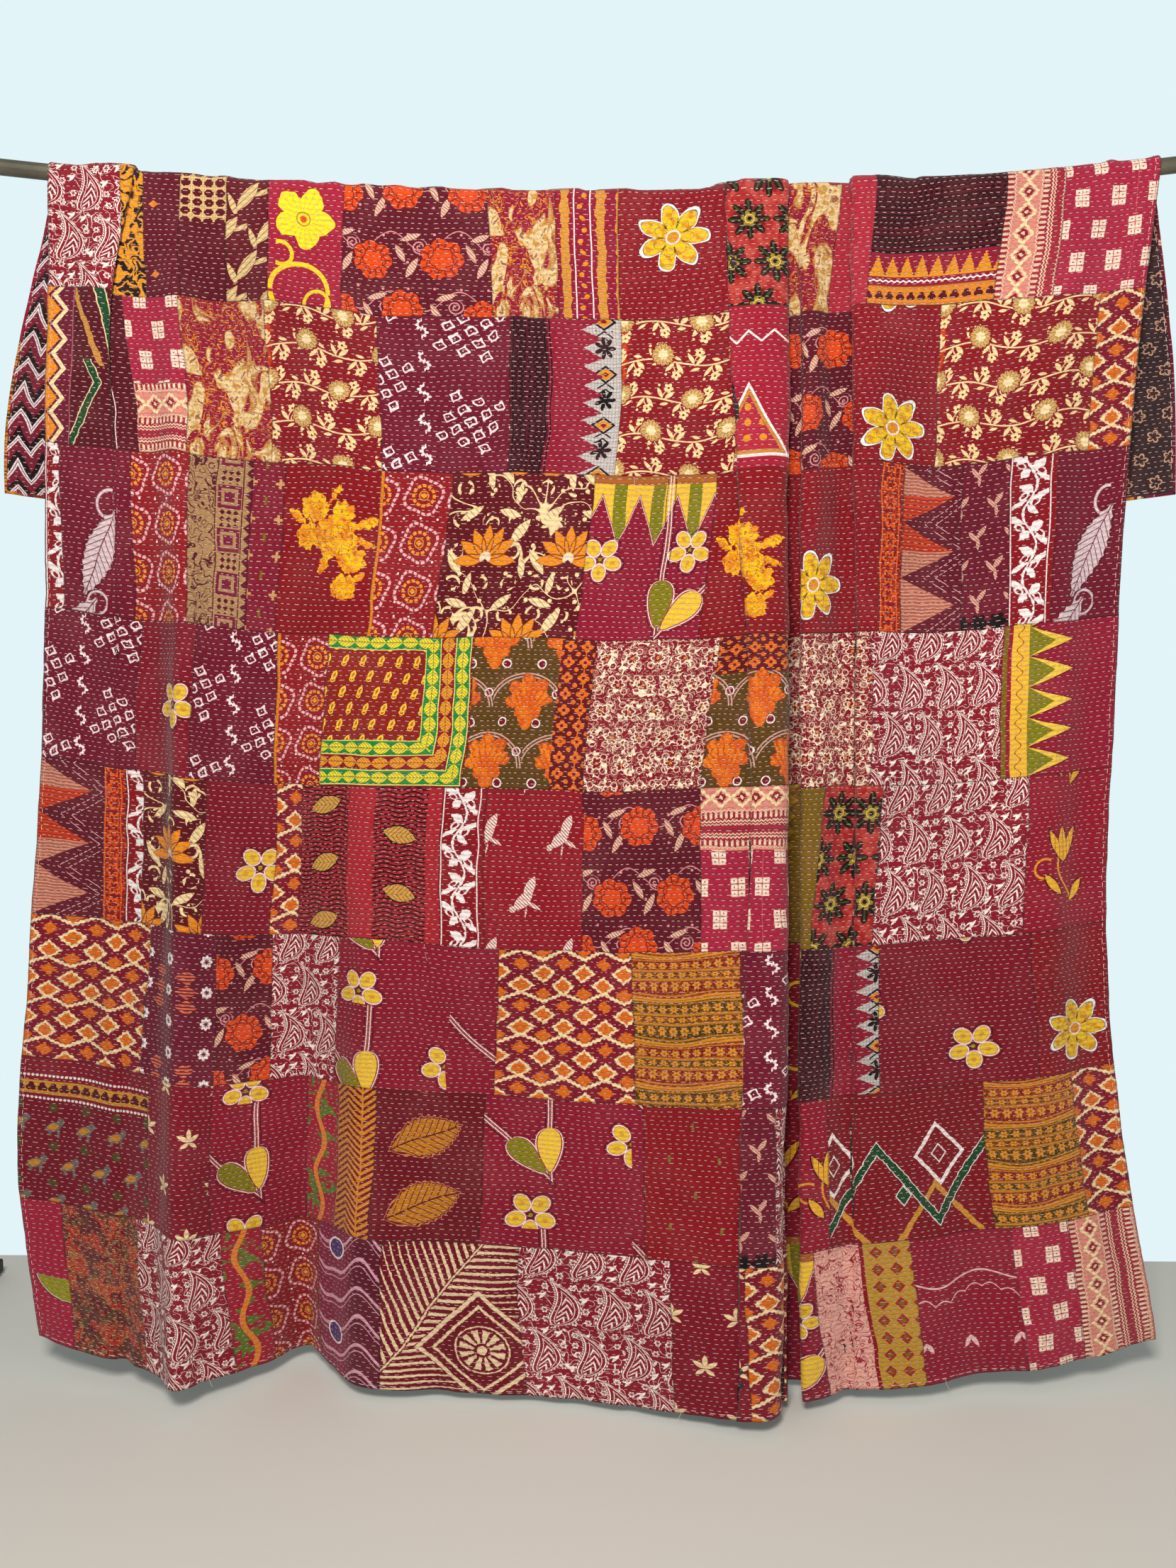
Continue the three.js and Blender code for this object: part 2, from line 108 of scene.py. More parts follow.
def hermite(knots, values, at):
    """Smooth curve through values (n, ...) at increasing knots."""
    knots, values = np.asarray(knots, float), np.asarray(values, float)
    step = np.diff(knots)
    rise = np.diff(values, axis=0) / step.reshape((-1,) + (1,) * (values.ndim - 1))
    slope = np.empty_like(values)
    slope[0], slope[-1] = rise[0], rise[-1]
    w = (step[1:] / (step[1:] + step[:-1])).reshape((-1,) + (1,) * (values.ndim - 1))
    slope[1:-1] = rise[:-1] * w + rise[1:] * (1 - w)
    k = np.clip(np.searchsorted(knots, at, side="right") - 1, 0, len(step) - 1)
    shape = (-1,) + (1,) * (values.ndim - 1)
    h = step[k].reshape(shape)
    t = ((at - knots[k]) / step[k]).reshape(shape)
    a, b = values[k], values[k + 1]
    return (
        a * (1 + 2 * t) * (1 - t) ** 2
        + b * t * t * (3 - 2 * t)
        + h * slope[k] * t * (1 - t) ** 2
        + h * slope[k + 1] * t * t * (t - 1)
    )


# ------------------------------------------------------------------ how the quilt hangs
# Level cuts through the hanging cloth, at these depths below the bar. Each row of a table is one
# place along the cut: x across, and how far out from the bar, at every depth. "knife" is a pleat
# whose lip lies on top and faces right, "trough" one whose lip faces left.
DEPTHS = [0, 0.2, 0.5, 0.9, 1.4, 1.8, 2.13]
FRONT = [
    (
        "at", [-0.978, -0.982, -0.996, -1.008, -1.04, -1.068, -1.045],
        [0, 0.002, 0.006, 0.012, 0.03, 0.045, 0.03],
    ),
    (
        "at", [-0.93, -0.935, -0.94, -0.945, -0.95, -0.965, -0.965],
        [0, 0.008, 0.015, 0.02, 0.035, 0.05, 0.06],
    ),
    (
        "knife", [-0.825, -0.862, -0.872, -0.872, -0.872, -0.875, -0.88],
        [0.034, 0.026, 0.0, 0.0, 0.0, 0.0, 0.0], [0.009, 0.022, 0.022, 0.03, 0.045, 0.065, 0.085],
        [0.0, 0.004, 0.012, 0.024, 0.042, 0.062, 0.082],
    ),
    ("at", -0.8, [0, 0.01, 0.02, 0.035, 0.065, 0.1, 0.13]),
    ("at", -0.745, [0.003, 0.028, 0.05, 0.076, 0.11, 0.146, 0.182]),
    ("at", -0.69, [0, 0.006, 0.016, 0.034, 0.062, 0.09, 0.125]),
    ("at", -0.62, [0, 0.0, 0.002, 0.008, 0.018, 0.032, 0.05]),
    ("at", -0.555, [0, 0.0, 0.0, 0.002, -0.004, -0.012, -0.022]),
    ("at", -0.5, [0.001, 0.008, 0.014, 0.014, 0.018, 0.03, 0.044]),
    ("at", -0.44, [0, 0.008, 0.02, 0.034, 0.058, 0.086, 0.112]),
    ("at", -0.3, [0, 0.002, 0.01, 0.028, 0.055, 0.085, 0.12]),
    ("at", -0.1, [0, 0.005, 0.02, 0.04, 0.07, 0.1, 0.135]),
    ("at", 0.06, [0, 0.003, 0.018, 0.048, 0.085, 0.125, 0.16]),
    ("at", 0.2, [0.001, 0.016, 0.035, 0.07, 0.12, 0.165, 0.205]),
    ("at", 0.262, [0.008, 0.024, 0.046, 0.084, 0.134, 0.178, 0.22]),
    (
        "knife", [0.326, 0.326, 0.325, 0.324, 0.321, 0.318, 0.316],
        [0.1, 0.096, 0.078, 0.056, 0.036, 0.026, 0.02],
        [0.0105, 0.032, 0.054, 0.09, 0.138, 0.18, 0.222],
        [0.001, -0.006, -0.01, -0.006, 0.012, 0.04, 0.076],
    ),
    (
        "at", [0.352, 0.352, 0.352, 0.352, 0.352, 0.352, 0.354],
        [0.002, 0.016, 0.036, 0.06, 0.092, 0.124, 0.158],
    ),
    (
        "at", [0.375, 0.375, 0.378, 0.38, 0.384, 0.386, 0.386],
        [0.003, 0.019, 0.036, 0.058, 0.09, 0.118, 0.148],
    ),
    ("at", [0.406, 0.404, 0.41, 0.42, 0.42, 0.42, 0.42], [0, 0.001, 0.01, 0.034, 0.068, 0.1, 0.132]),
    (
        "trough", [0.438, 0.436, 0.44, 0.45, 0.45, 0.45, 0.45],
        [0.036, 0.03, 0.016, 0.004, 0.0, 0.0, 0.0], [0.0, -0.002, 0.006, 0.03, 0.062, 0.09, 0.12],
        [0.01, 0.032, 0.046, 0.052, 0.072, 0.096, 0.124],
    ),
    ("at", 0.55, [0, 0.008, 0.02, 0.036, 0.062, 0.092, 0.128]),
    ("at", 0.68, [0, 0.002, 0.01, 0.024, 0.04, 0.064, 0.09]),
    ("at", 0.8, [0, 0.009, 0.022, 0.03, 0.048, 0.062, 0.075]),
    ("at", [0.9, 0.885, 0.87, 0.86, 0.86, 0.9, 0.94], [0, 0.002, 0.008, 0.012, 0.02, 0.032, 0.045]),
    ("at", [0.975, 0.955, 0.933, 0.922, 0.917, 0.965, 1.03], [0, 0.001, 0.004, 0.005, 0.01, 0.015, 0.02]),
]
BACK_DEPTHS = [0, 0.15, 0.3, 0.45, 0.6]
BACK = [
    ("at", [-0.978, -1.02, -1.06, -1.085, -1.09], [0, 0.006, 0.01, 0.004, -0.004]),
    ("at", [-0.93, -0.965, -1.0, -1.02, -1.03], [0, 0.01, 0.022, 0.03, 0.03]),
    (
        "knife", [-0.825, -0.85, -0.87, -0.89, -0.9], [0.034, 0.02, 0.01, 0.004, 0.0],
        [0.009, 0.016, 0.03, 0.04, 0.045], [0, 0.008, 0.018, 0.03, 0.038],
    ),
    ("at", -0.72, [0, 0.006, 0.012, 0.014, 0.014]),
    ("at", -0.55, [0, 0.004, 0.016, 0.03, 0.04]),
    ("at", -0.38, [0, 0.002, 0.002, 0.004, 0.008]),
    ("at", -0.18, [0, 0.003, 0.01, 0.02, 0.03]),
    ("at", 0.0, [0, 0.001, 0.004, 0.006, 0.008]),
    ("at", 0.18, [0.001, 0.008, 0.02, 0.032, 0.04]),
    (
        "knife", [0.318, 0.322, 0.326, 0.33, 0.335], [0.1, 0.09, 0.075, 0.06, 0.05],
        [0.0105, 0.022, 0.035, 0.046, 0.052], [0.001, 0.004, 0.008, 0.01, 0.014],
    ),
    ("at", [0.37, 0.376, 0.38, 0.385, 0.39], [0.001, 0.006, 0.01, 0.012, 0.016]),
    (
        "trough", [0.438, 0.445, 0.45, 0.455, 0.46], [0.036, 0.026, 0.014, 0.006, 0.0],
        [0, 0.006, 0.012, 0.016, 0.02], [0.009, 0.018, 0.026, 0.03, 0.032],
    ),
    ("at", 0.6, [0, 0.002, 0.008, 0.016, 0.02]),
    ("at", 0.76, [0, 0.006, 0.02, 0.03, 0.036]),
    ("at", [0.9, 0.92, 0.94, 0.955, 0.965], [0, 0.004, 0.01, 0.014, 0.014]),
    ("at", [0.975, 1.0, 1.02, 1.03, 1.035], [0, 0.004, 0.004, -0.006, -0.014]),
]


RUN_IN, RUN_OUT = 0.012, 0.014  # flat cloth just before and after a pleat


def bend(cx, cf, r, start, end, count=5):
    a = np.radians(np.linspace(start, end, count))
    return [(cx + r * math.cos(t), cf + r * math.sin(t)) for t in a]


def cut_points(row):
    """The points of one row of a table, its numbers taken at one depth."""
    kind, x, *rest = row
    if kind == "at":
        return [(x, rest[0])]
    over, first, last = rest
    r = abs(first - last) / 4
    if kind == "knife":
        lip, turn = x - r, x - over + r
        return (
            [(min(lip, turn) - RUN_IN - r, first)]
            + bend(lip, first - r, r, 90, -90)
            + bend(turn, last + r, r, 90, 270)
            + [(x + RUN_OUT + r, last + 0.15 * r)]
        )
    lip, turn = x + r, x + over - r
    return (
        [(x - RUN_OUT - r, first)]
        + bend(turn, first + r, r, -90, 90)
        + bend(lip, last - r, r, 270, 90)
        + [(max(lip, turn) + RUN_IN + r, last)]
    )


BAR_CLEAR = 0.76  # the cloth keeps clear of the bar down to here, as the quilt lifts off past it
CHORD_POWER = 0.6  # spaces the knots of a cut so that its curve doesn't overshoot in tight bends
POINTS_PER_CUT = 4000


def cuts(rows, depths, levels, columns):
    """x and distance out, as (levels, columns), even in cloth length along each cut."""
    tables = []
    for kind, *numbers in rows:
        full = [n if isinstance(n, list) else [n] * len(depths) for n in numbers]
        tables.append((kind, hermite(depths, np.array(full).T, levels)))
    xs, fs = np.empty((len(levels), columns)), np.empty((len(levels), columns))
    for k in range(len(levels)):
        points = np.array([p for kind, t in tables for p in cut_points((kind, *t[k]))])
        chord = np.hypot(*np.diff(points, axis=0).T)
        knots = np.concatenate([[0], np.cumsum(np.maximum(chord, 1e-5) ** CHORD_POWER)])
        fine = hermite(knots, points, np.linspace(0, knots[-1], POINTS_PER_CUT))
        run = np.concatenate([[0], np.cumsum(np.hypot(*np.diff(fine, axis=0).T))])
        want = np.linspace(0, run[-1], columns)
        xs[k], fs[k] = np.interp(want, run, fine[:, 0]), np.interp(want, run, fine[:, 1])
        if levels[k] < BAR_CLEAR:
            fs[k] = np.maximum(fs[k], 0)
    return xs, fs


LEVEL_STEP = 0.01
FINE_COLUMNS = 1400
front_levels = np.arange(0, 2.2, LEVEL_STEP)
back_levels = np.arange(0, 0.7, LEVEL_STEP)
FRONT_CUTS = cuts(FRONT, DEPTHS, front_levels, FINE_COLUMNS)
BACK_CUTS = cuts(BACK, BACK_DEPTHS, back_levels, FINE_COLUMNS)


def sample(grid, depth, u):
    a = np.clip(depth / LEVEL_STEP, 0, grid.shape[0] - 1.001)
    b = np.clip(u / QUILT_WIDTH * (FINE_COLUMNS - 1), 0, FINE_COLUMNS - 1.001)
    i, j = a.astype(int), b.astype(int)
    s, t = a - i, b - j
    near = grid[i, j] * (1 - t) + grid[i, j + 1] * t
    far = grid[i + 1, j] * (1 - t) + grid[i + 1, j + 1] * t
    return near * (1 - s) + far * s


LIFT_OF_FOLDS = 0.55  # how much higher cloth ends that swings out from the bar


def hang(u, v):
    """Places cloth points (u across, v up from the front hem) on the smooth hanging surface."""
    s = v - CREST
    drop = np.maximum(np.abs(s) - WRAP, 0)
    front = s < 0
    x = np.where(front, sample(FRONT_CUTS[0], drop, u), sample(BACK_CUTS[0], drop, u))
    out = np.where(front, sample(FRONT_CUTS[1], drop, u), sample(BACK_CUTS[1], drop, u))
    angle = np.clip(s / WRAP_R, -math.pi / 2, math.pi / 2)
    lift = np.where(drop > 0, LIFT_OF_FOLDS * out**2 / np.maximum(drop, 0.15), 0)
    y = (WRAP_R + out) * np.sin(angle)
    z = bar_axis(x) + (WRAP_R + out) * np.cos(angle) - drop + lift
    return np.stack([x, y, z], -1)


def normals(points):
    du, dv = np.gradient(points, axis=0), np.gradient(points, axis=1)
    n = np.cross(du, dv)
    return n / np.maximum(np.linalg.norm(n, axis=-1, keepdims=True), 1e-12)


# ------------------------------------------------------------------ the cloth as a grid
us = np.linspace(0, QUILT_WIDTH, COLUMNS + 1)
parts = [
    np.arange(n) / n * ROW + k * ROW
    for k, n in enumerate([CELLS_OVER_BAR if k == BAR_ROW else CELLS_PER_ROW for k in range(ROWS)])
]
vs = np.concatenate(parts + [[QUILT_LENGTH]])
U, V = np.meshgrid(us, vs, indexing="ij")

edge_u = np.clip(np.minimum(U, QUILT_WIDTH - U) / 0.05, 0, 1)
edge_v = np.clip(np.minimum(V, QUILT_LENGTH - V) / 0.05, 0, 1)
CLOTH_U = U + edge_u * (0.007 * noise(U, V, 0.16, 0.2, 11) + 0.002 * noise(U, V, 0.05, 0.04, 12))
CLOTH_V = V + edge_v * (0.009 * noise(U, V, 0.22, 0.4, 13) + 0.002 * noise(U, V, 0.05, 0.05, 14))

SEAMS_LOWER = [0, 0.014, 0.02, 0.025, 0.022, 0.028, 0.008, 0.004, 0, 0, 0]  # rows are not all as tall
CLOTH_V = CLOTH_V - np.interp(V / ROW, range(ROWS + 1), SEAMS_LOWER)

rest = hang(CLOTH_U, CLOTH_V)
N = normals(rest)
below = np.abs(CLOTH_V - CREST)
free = np.clip((below - 0.03) / 0.1, 0, 1)
hem = np.exp(-((V / 0.05) ** 2))
seam_v = np.abs(CLOTH_V / ROW - np.round(CLOTH_V / ROW)) * ROW
near_crest = np.exp(-below / 0.4)
along_seams = np.exp(-((seam_v / 0.02) ** 2))
left_folds = np.clip((0.95 - U) / 0.3, 0, 1) * np.clip((U - 0.12) / 0.1, 0, 1)
right_folds = np.clip((U - 1.7) / 0.3, 0, 1)
crest_gathers = np.exp(-((below / 0.07) ** 2))


def relief(height, across, down, seed):
    """Soft relief of the cloth: its height, and how wide and how long its swellings are."""
    return height * noise(U, V, across, down, seed)


bulge = free * (
    relief(0.0042, 0.11, 0.2, 21)
    + relief(0.0075, 0.042, 0.36, 22) * near_crest
    + relief(0.0036, 0.05, 0.6, 28)
    + relief(0.0022, 0.045, 0.05, 23)
    + relief(0.0095, 0.062, 1.1, 33) * left_folds
    + relief(0.006, 0.09, 1.3, 34) * right_folds
    + relief(0.0018, 0.02, 0.06, 24) * along_seams
)
bulge += np.abs(relief(0.0009, 0.017, 0.0127, 25)) + relief(0.0006, 0.026, 0.011, 26) * free
bulge += relief(0.002, 0.03, 0.05, 27) * hem
bulge += np.maximum(relief(0.004, 0.026, 0.3, 31), 0) * crest_gathers
MIDDLE = rest + N * bulge[..., None]
side = np.where(CLOTH_V < CREST, -1, 1)
out = MIDDLE[..., 1] * side - WRAP_R
near_bar = free * np.clip((BAR_CLEAR - below) / 0.05, 0, 1)
MIDDLE[..., 1] += side * near_bar * ((out + np.hypot(out, 0.004)) / 2 - out)
N = normals(MIDDLE)


def grid_mesh(name, points):
    nu, nv = points.shape[:2]
    index = np.arange(nu * nv).reshape(nu, nv)
    quads = np.stack([index[:-1, :-1], index[1:, :-1], index[1:, 1:], index[:-1, 1:]], -1).reshape(-1, 4)
    mesh = bpy.data.meshes.new(name)
    mesh.vertices.add(nu * nv)
    mesh.vertices.foreach_set("co", points.reshape(-1).astype(np.float32))
    mesh.loops.add(quads.size)
    mesh.loops.foreach_set("vertex_index", quads.reshape(-1).astype(np.int32))
    mesh.polygons.add(len(quads))
    mesh.polygons.foreach_set("loop_start", np.arange(0, quads.size, 4, dtype=np.int32))
    mesh.polygons.foreach_set("loop_total", np.full(len(quads), 4, np.int32))
    mesh.update()
    mesh.validate()
    mesh.polygons.foreach_set("use_smooth", np.ones(len(quads), bool))
    ob = bpy.data.objects.new(name, mesh)
    bpy.context.scene.collection.objects.link(ob)
    return ob, quads


# ------------------------------------------------------------------ shader arithmetic
class Num:
    """A number inside the node tree that is being built."""

    def __init__(self, socket):
        self.socket = socket

    def __add__(self, other):
        return math_node("ADD", self, other)

    def __radd__(self, other):
        return math_node("ADD", other, self)

    def __sub__(self, other):
        return math_node("SUBTRACT", self, other)

    def __rsub__(self, other):
        return math_node("SUBTRACT", other, self)

    def __mul__(self, other):
        return math_node("MULTIPLY", self, other)

    def __rmul__(self, other):
        return math_node("MULTIPLY", other, self)

    def __truediv__(self, other):
        return math_node("DIVIDE", self, other)

    def __neg__(self):
        return math_node("MULTIPLY", self, -1.0)


TREE = None


def make(kind, **settings):
    n = TREE.nodes.new(kind)
    for key, value in settings.items():
        setattr(n, key, value)
    return n


def feed(socket, value):
    if isinstance(value, Num):
        TREE.links.new(value.socket, socket)
    elif isinstance(value, tuple):
        socket.default_value = (*value, 1.0)[:4]
    else:
        socket.default_value = value


def math_node(kind, *values, clamp=False):
    n = make("ShaderNodeMath", operation=kind, use_clamp=clamp)
    for socket, value in zip(n.inputs, values):
        feed(socket, value)
    return Num(n.outputs[0])


def unary(kind):
    return lambda a: math_node(kind, a)


absolute, sine, cosine, floor, fract = (
    unary(k) for k in ("ABSOLUTE", "SINE", "COSINE", "FLOOR", "FRACT")
)
root = unary("SQRT")
least = lambda a, b: math_node("MINIMUM", a, b)
most = lambda a, b: math_node("MAXIMUM", a, b)
angle_of = lambda x, y: math_node("ARCTAN2", y, x)
rep = lambda a, size: math_node("WRAP", a, size / 2, -size / 2)
cell = lambda a, size: math_node("ROUND", a * (1 / size))
zigzag = lambda a, size: math_node("PINGPONG", a, size)
inverse = lambda a: math_node("SUBTRACT", 1.0, a, clamp=True)
both = lambda a, b: a * b
either = lambda a, b: math_node("MAXIMUM", a, b)


def pair(x, y):
    n = make("ShaderNodeCombineXYZ")
    feed(n.inputs[0], x)
    feed(n.inputs[1], y)
    return Num(n.outputs[0])


def length(x, y):
    n = make("ShaderNodeVectorMath", operation="LENGTH")
    feed(n.inputs[0], pair(x, y))
    return Num(n.outputs["Value"])


def grain(x, y, scale, detail=1.0, warp=0.0):
    n = make("ShaderNodeTexNoise", noise_dimensions="2D")
    feed(n.inputs["Vector"], pair(x, y))
    feed(n.inputs["Scale"], scale)
    feed(n.inputs["Detail"], detail)
    feed(n.inputs["Distortion"], warp)
    return Num(n.outputs[0])


def dice(i, j):
    n = make("ShaderNodeTexWhiteNoise", noise_dimensions="2D")
    feed(n.inputs["Vector"], pair(i, j))
    return Num(n.outputs[0])


def soft(d, k=11.0):
    """1 inside a shape, 0 outside, for a distance in centimetres that is negative inside."""
    return math_node("MULTIPLY_ADD", d, -k, 0.5, clamp=True)


def blend(under, over, share):
    n = make("ShaderNodeMix", data_type="RGBA")
    feed(n.inputs[0], share)
    feed(n.inputs[6], under)
    feed(n.inputs[7], over)
    return Num(n.outputs[2])


def paint(ground, *layers):
    for share, colour in layers:
        ground = blend(ground, colour, share)
    return ground


def turned(x, y, degrees):
    c, s = math.cos(math.radians(degrees)), math.sin(math.radians(degrees))
    return x * c + y * s, y * c - x * s


# shapes, as distances in centimetres
disc = lambda x, y, r: length(x, y) - r
band = lambda a, low, high: absolute(a - (low + high) / 2) - (high - low) / 2
hoop = lambda d, w: absolute(d) - w
box = lambda x, y, a, b: most(absolute(x) - a, absolute(y) - b)
lozenge = lambda x, y, a, b: (absolute(x) * (1 / a) + absolute(y) * (1 / b) - 1.0) * min(a, b)


def leaf(x, y, half_length, half_width, degrees=0):
    a, b = turned(x, y, degrees) if degrees else (x, y)
    return absolute(b) + a * a * (half_width / half_length**2) - half_width


def petals(x, y, count, r, depth, shift=0.0):
    wave = absolute(cosine(angle_of(x, y) * (count / 2) + shift))
    return length(x, y) - (wave * (depth * r) + r * (1 - depth))


def around(x, y, count, shift=0.0):
    """The same place in every one of count equal sectors round a centre, along and across it."""
    t = rep(angle_of(x, y) + shift, 2 * math.pi / count)
    r = length(x, y)
    return r * cosine(t), r * sine(t)


def tooth(along, across, width, height):
    """A row of triangles standing on across = 0."""
    return (zigzag(along, width / 2) * (-2 * height / width) + across) * 0.6


def rgb(r, g, b, depth=1.16):
    """A colour written as it shows on a screen, 0 to 255, dyed that much deeper."""
    return tuple(((c / 255 + 0.055) / 1.055) ** (2.4 * depth) for c in (r, g, b))


RASPBERRY = rgb(164, 38, 70)
CRIMSON = rgb(158, 24, 44)
PLUM = rgb(132, 34, 66)
MAROON = rgb(112, 20, 44)
BRICK = rgb(164, 40, 50)
PINK = rgb(222, 130, 140)
CREAM = rgb(246, 222, 180)
WHITE = rgb(246, 234, 230)
YELLOW = rgb(244, 206, 62)
GOLD = rgb(226, 160, 48)
ORANGE = rgb(232, 104, 34)
OLIVE = rgb(146, 122, 20)
LIME = rgb(168, 162, 22)
GREEN = rgb(44, 98, 62)
BLACK = rgb(34, 14, 22)
GREY = rgb(214, 206, 200)
PURPLE = rgb(104, 62, 130)


# ------------------------------------------------------------------ the prints, in centimetres
def paisley(x, y, ground=rgb(160, 34, 58), ink=rgb(252, 238, 230)):
    x, y = x * 1.2, y * 1.2
    k = cell(y, 10.5)
    a, b = rep(x + k * 4.3, 8.6), rep(y, 10.5)
    bent = a - 0.6 + b * b * 0.11
    t = b * (1 / 4.6)
    d = absolute(bent) - root(most(1.0 - t * t, 0.0)) * (1.3 - t) * 1.5
    lines = least(hoop(d, 0.12), hoop(d + 0.75, 0.07))
    scales = most(d + 1.05, hoop(rep(absolute(bent) + b * 0.7, 0.95), 0.17))
    beads = most(hoop(d - 0.42, 0.14), zigzag(b + bent, 0.35) - 0.2)
    i, j = cell(x, 2.5), cell(y, 2.5)
    odd = dice(i, j)
    fx, fy = rep(x, 2.5) + odd * 0.8 - 0.4, rep(y, 2.5) + dice(j, i) * 0.8 - 0.4
    bloom = hoop(petals(fx, fy, 6, 0.72, 0.42) + 0.14, 0.13)
    p, q = turned(fx, fy, 50)
    sprout = least(leaf(p, q, 1.1, 0.3), leaf(fx + 0.3, fy - 0.2, 0.9, 0.24))
    chosen = math_node("COMPARE", odd, 0.25, 0.3)
    field = bloom * chosen + sprout * (1.0 - chosen)
    vines = (absolute(grain(x, y, 0.4, 0.0, 0.8) - 0.5) - 0.016) * 6.0
    field = most(least(field, vines), 0.62 - d)
    return paint(ground, (soft(least(least(lines, scales), least(beads, field))), ink))


def scribble(x, y):
    strokes = soft(absolute(grain(x, y, 0.7, 1.0, 1.4) - 0.5) - 0.015, 40.0)
    blots = soft(0.65 - grain(x + 31, y + 5, 0.9, 1.0, 0.6), 30.0)
    a, b = rep(x + cell(y, 4.8) * 2.2, 4.4), rep(y, 4.8)
    bloom = hoop(petals(a, b, 6, 1.15, 0.35), 0.12)
    curl = hoop(disc(rep(x + 1.1, 2.2), rep(y + 1.2, 2.4), 0.55), 0.08)
    return paint(
        rgb(156, 24, 56),
        (either(either(strokes, blots), either(soft(bloom), soft(curl) * 0.8)), rgb(250, 232, 206)),
        (soft(disc(a, b, 0.25)), GOLD),
    )


def vine(x, y):
    x = x + sine(y * 0.2) * 0.8
    wave = sine(x * 0.34) * 0.9
    k = cell(y - wave, 6.6)
    b = rep(y - wave, 6.6)
    u = x + k * 2.6
    way = cosine(cell(u, 3.3) * 3.14159)
    a, c = rep(u, 3.3), b * way
    stem = absolute(b) - 0.13
    twig = most(hoop(length(a - 1.5, c - 0.1) - 1.9, 0.075), most(-c, a - 0.3))
    leaves = least(leaf(a + 0.9, c - 1.0, 1.05, 0.34, 125), leaf(a - 0.8, c - 0.9, 1.1, 0.36, 48))
    leaves = least(leaves, leaf(a - 0.1, c + 0.75, 0.8, 0.26, 20))
    fx, fy = a - 0.45, c - 2.1
    bloom = most(petals(fx, fy, 5, 0.85, 0.4), 0.2 - length(fx, fy))
    buds = disc(a + 1.3, c - 2.3, 0.22)
    rx, ry = rep(x + k * 6.4, 12.8), b - 0.9
    rosette = petals(rx, ry, 13, 1.9, 0.18)
    ink = both(
        soft(least(least(stem, twig), least(leaves, least(bloom, buds)))),
        inverse(soft(rosette - 0.25)),
    )
    ground = paint(rgb(160, 34, 46), (grain(x, y, 0.16, 1.0) * 0.5, rgb(138, 18, 40)))
    bleed = soft(absolute(x) * 0.8 - 0.9 + grain(x, y, 1.2) * 1.4, 1.4)
    rays = soft(hoop(rep(angle_of(rx, ry), 0.4833), 0.05), 9.0)
    return paint(
        paint(ground, (bleed * 0.8, ORANGE)),
        (ink, rgb(246, 220, 170)),
        (soft(rosette), rgb(214, 184, 120)),
        (both(soft(rosette), rays) * 0.7, BRICK),
        (soft(petals(rx, ry, 7, 0.9, 0.25)), CREAM),
    )


def blooms(x, y):
    x, y = x * 0.8, y * 0.8
    k = cell(y, 8.2)
    drift = dice(cell(x + k * 4.4, 8.8), k)
    a, b = rep(x + k * 4.4, 8.8) + drift * 1.6 - 0.8, rep(y, 8.2) + cosine(drift * 9) * 0.9
    spin = angle_of(a, b)
    head = petals(a, b, 7, 2.75, 0.16, 0.3)
    inner = petals(a, b, 5, 1.5, 0.2, 1.1)
    folds = least(
        hoop(head + 0.85, 0.07),
        least(hoop(inner, 0.07), most(hoop(rep(spin, 0.45), 0.05), 1.6 - length(a, b))),
    )
    a2, b2 = rep(x + k * 4.4 + 4.4, 8.8), rep(y, 8.2)
    leaves = least(
        leaf(a2 - 0.6, b2 + 1.5, 1.6, 0.45, 62),
        least(leaf(a2 + 0.9, b2 - 0.4, 1.4, 0.42, 118), leaf(a2 - 0.4, b2 - 2.6, 1.4, 0.4, 20)),
    )
    veins = soft(absolute(rep(b2 + a2, 0.5)) - 0.06)
    curl = length(a2 - 1.5, b2 - 1.3)
    coil = most(absolute(rep(curl - angle_of(a2 - 1.5, b2 - 1.3) * 0.0796, 0.5)) - 0.08, curl - 1.05)
    dots = disc(rep(x + 1, 3.3), rep(y, 3.7), 0.17)
    stems = absolute(rep(y + sine(x * 0.72) * 1.4, 8.2) - 2.0) - 0.07
    off = inverse(soft(head - 0.15))
    return paint(
        rgb(120, 26, 52),
        (both(off, soft(least(stems, least(coil, dots)))), rgb(232, 168, 168)),
        (both(off, soft(leaves)), rgb(240, 200, 176)),
        (both(both(off, soft(leaves)), veins), PLUM),
        (soft(head), paint(ORANGE, (grain(x, y, 1.3, 2.0) * 0.5, rgb(206, 72, 30)))),
        (both(soft(head + 0.1), soft(folds)), rgb(140, 34, 28)),
    )


def tiedye(x, y, ground=RASPBERRY, sheen=0.0):
    blot = grain(x, y * 0.55, 0.24, 2.0, 1.0)
    cloth = soft(0.5 - blot, 18.0)
    tint = grain(x + 9, y, 0.9, 3.0, 0.5)
    cream = paint(
        rgb(234, 208, 164),
        (soft(0.56 - tint, 7.0), rgb(206, 160, 84)),
        (soft(tint - 0.36, 14.0), rgb(170, 116, 86)),
    )
    marks = soft(absolute(grain(x + 3, y, 0.55, 1.0, 1.5) - 0.5) - 0.02, 40.0)
    edge = soft(hoop(blot - 0.5, 0.012), 60.0)
    return paint(ground, (both(inverse(cloth), marks), GOLD), (cloth, cream), (edge, rgb(200, 150, 80)))


def gold_stripe(x, y):
    k = absolute(rep(x, 9.0))
    rough = (grain(x, y, 0.8, 1.0) - 0.5) * 0.5
    bar = soft(absolute(k + rough * 1.6 - 1.6) - 0.75)
    dots = soft(disc(rep(x + 4.5, 9.0) + sine(y * 1.1) * 0.4, rep(y, 1.9), 0.42))
    return paint(RASPBERRY, (bar, rgb(216, 160, 76)), (dots, GOLD), (soft(absolute(k - 3.2) - 0.1), WHITE))


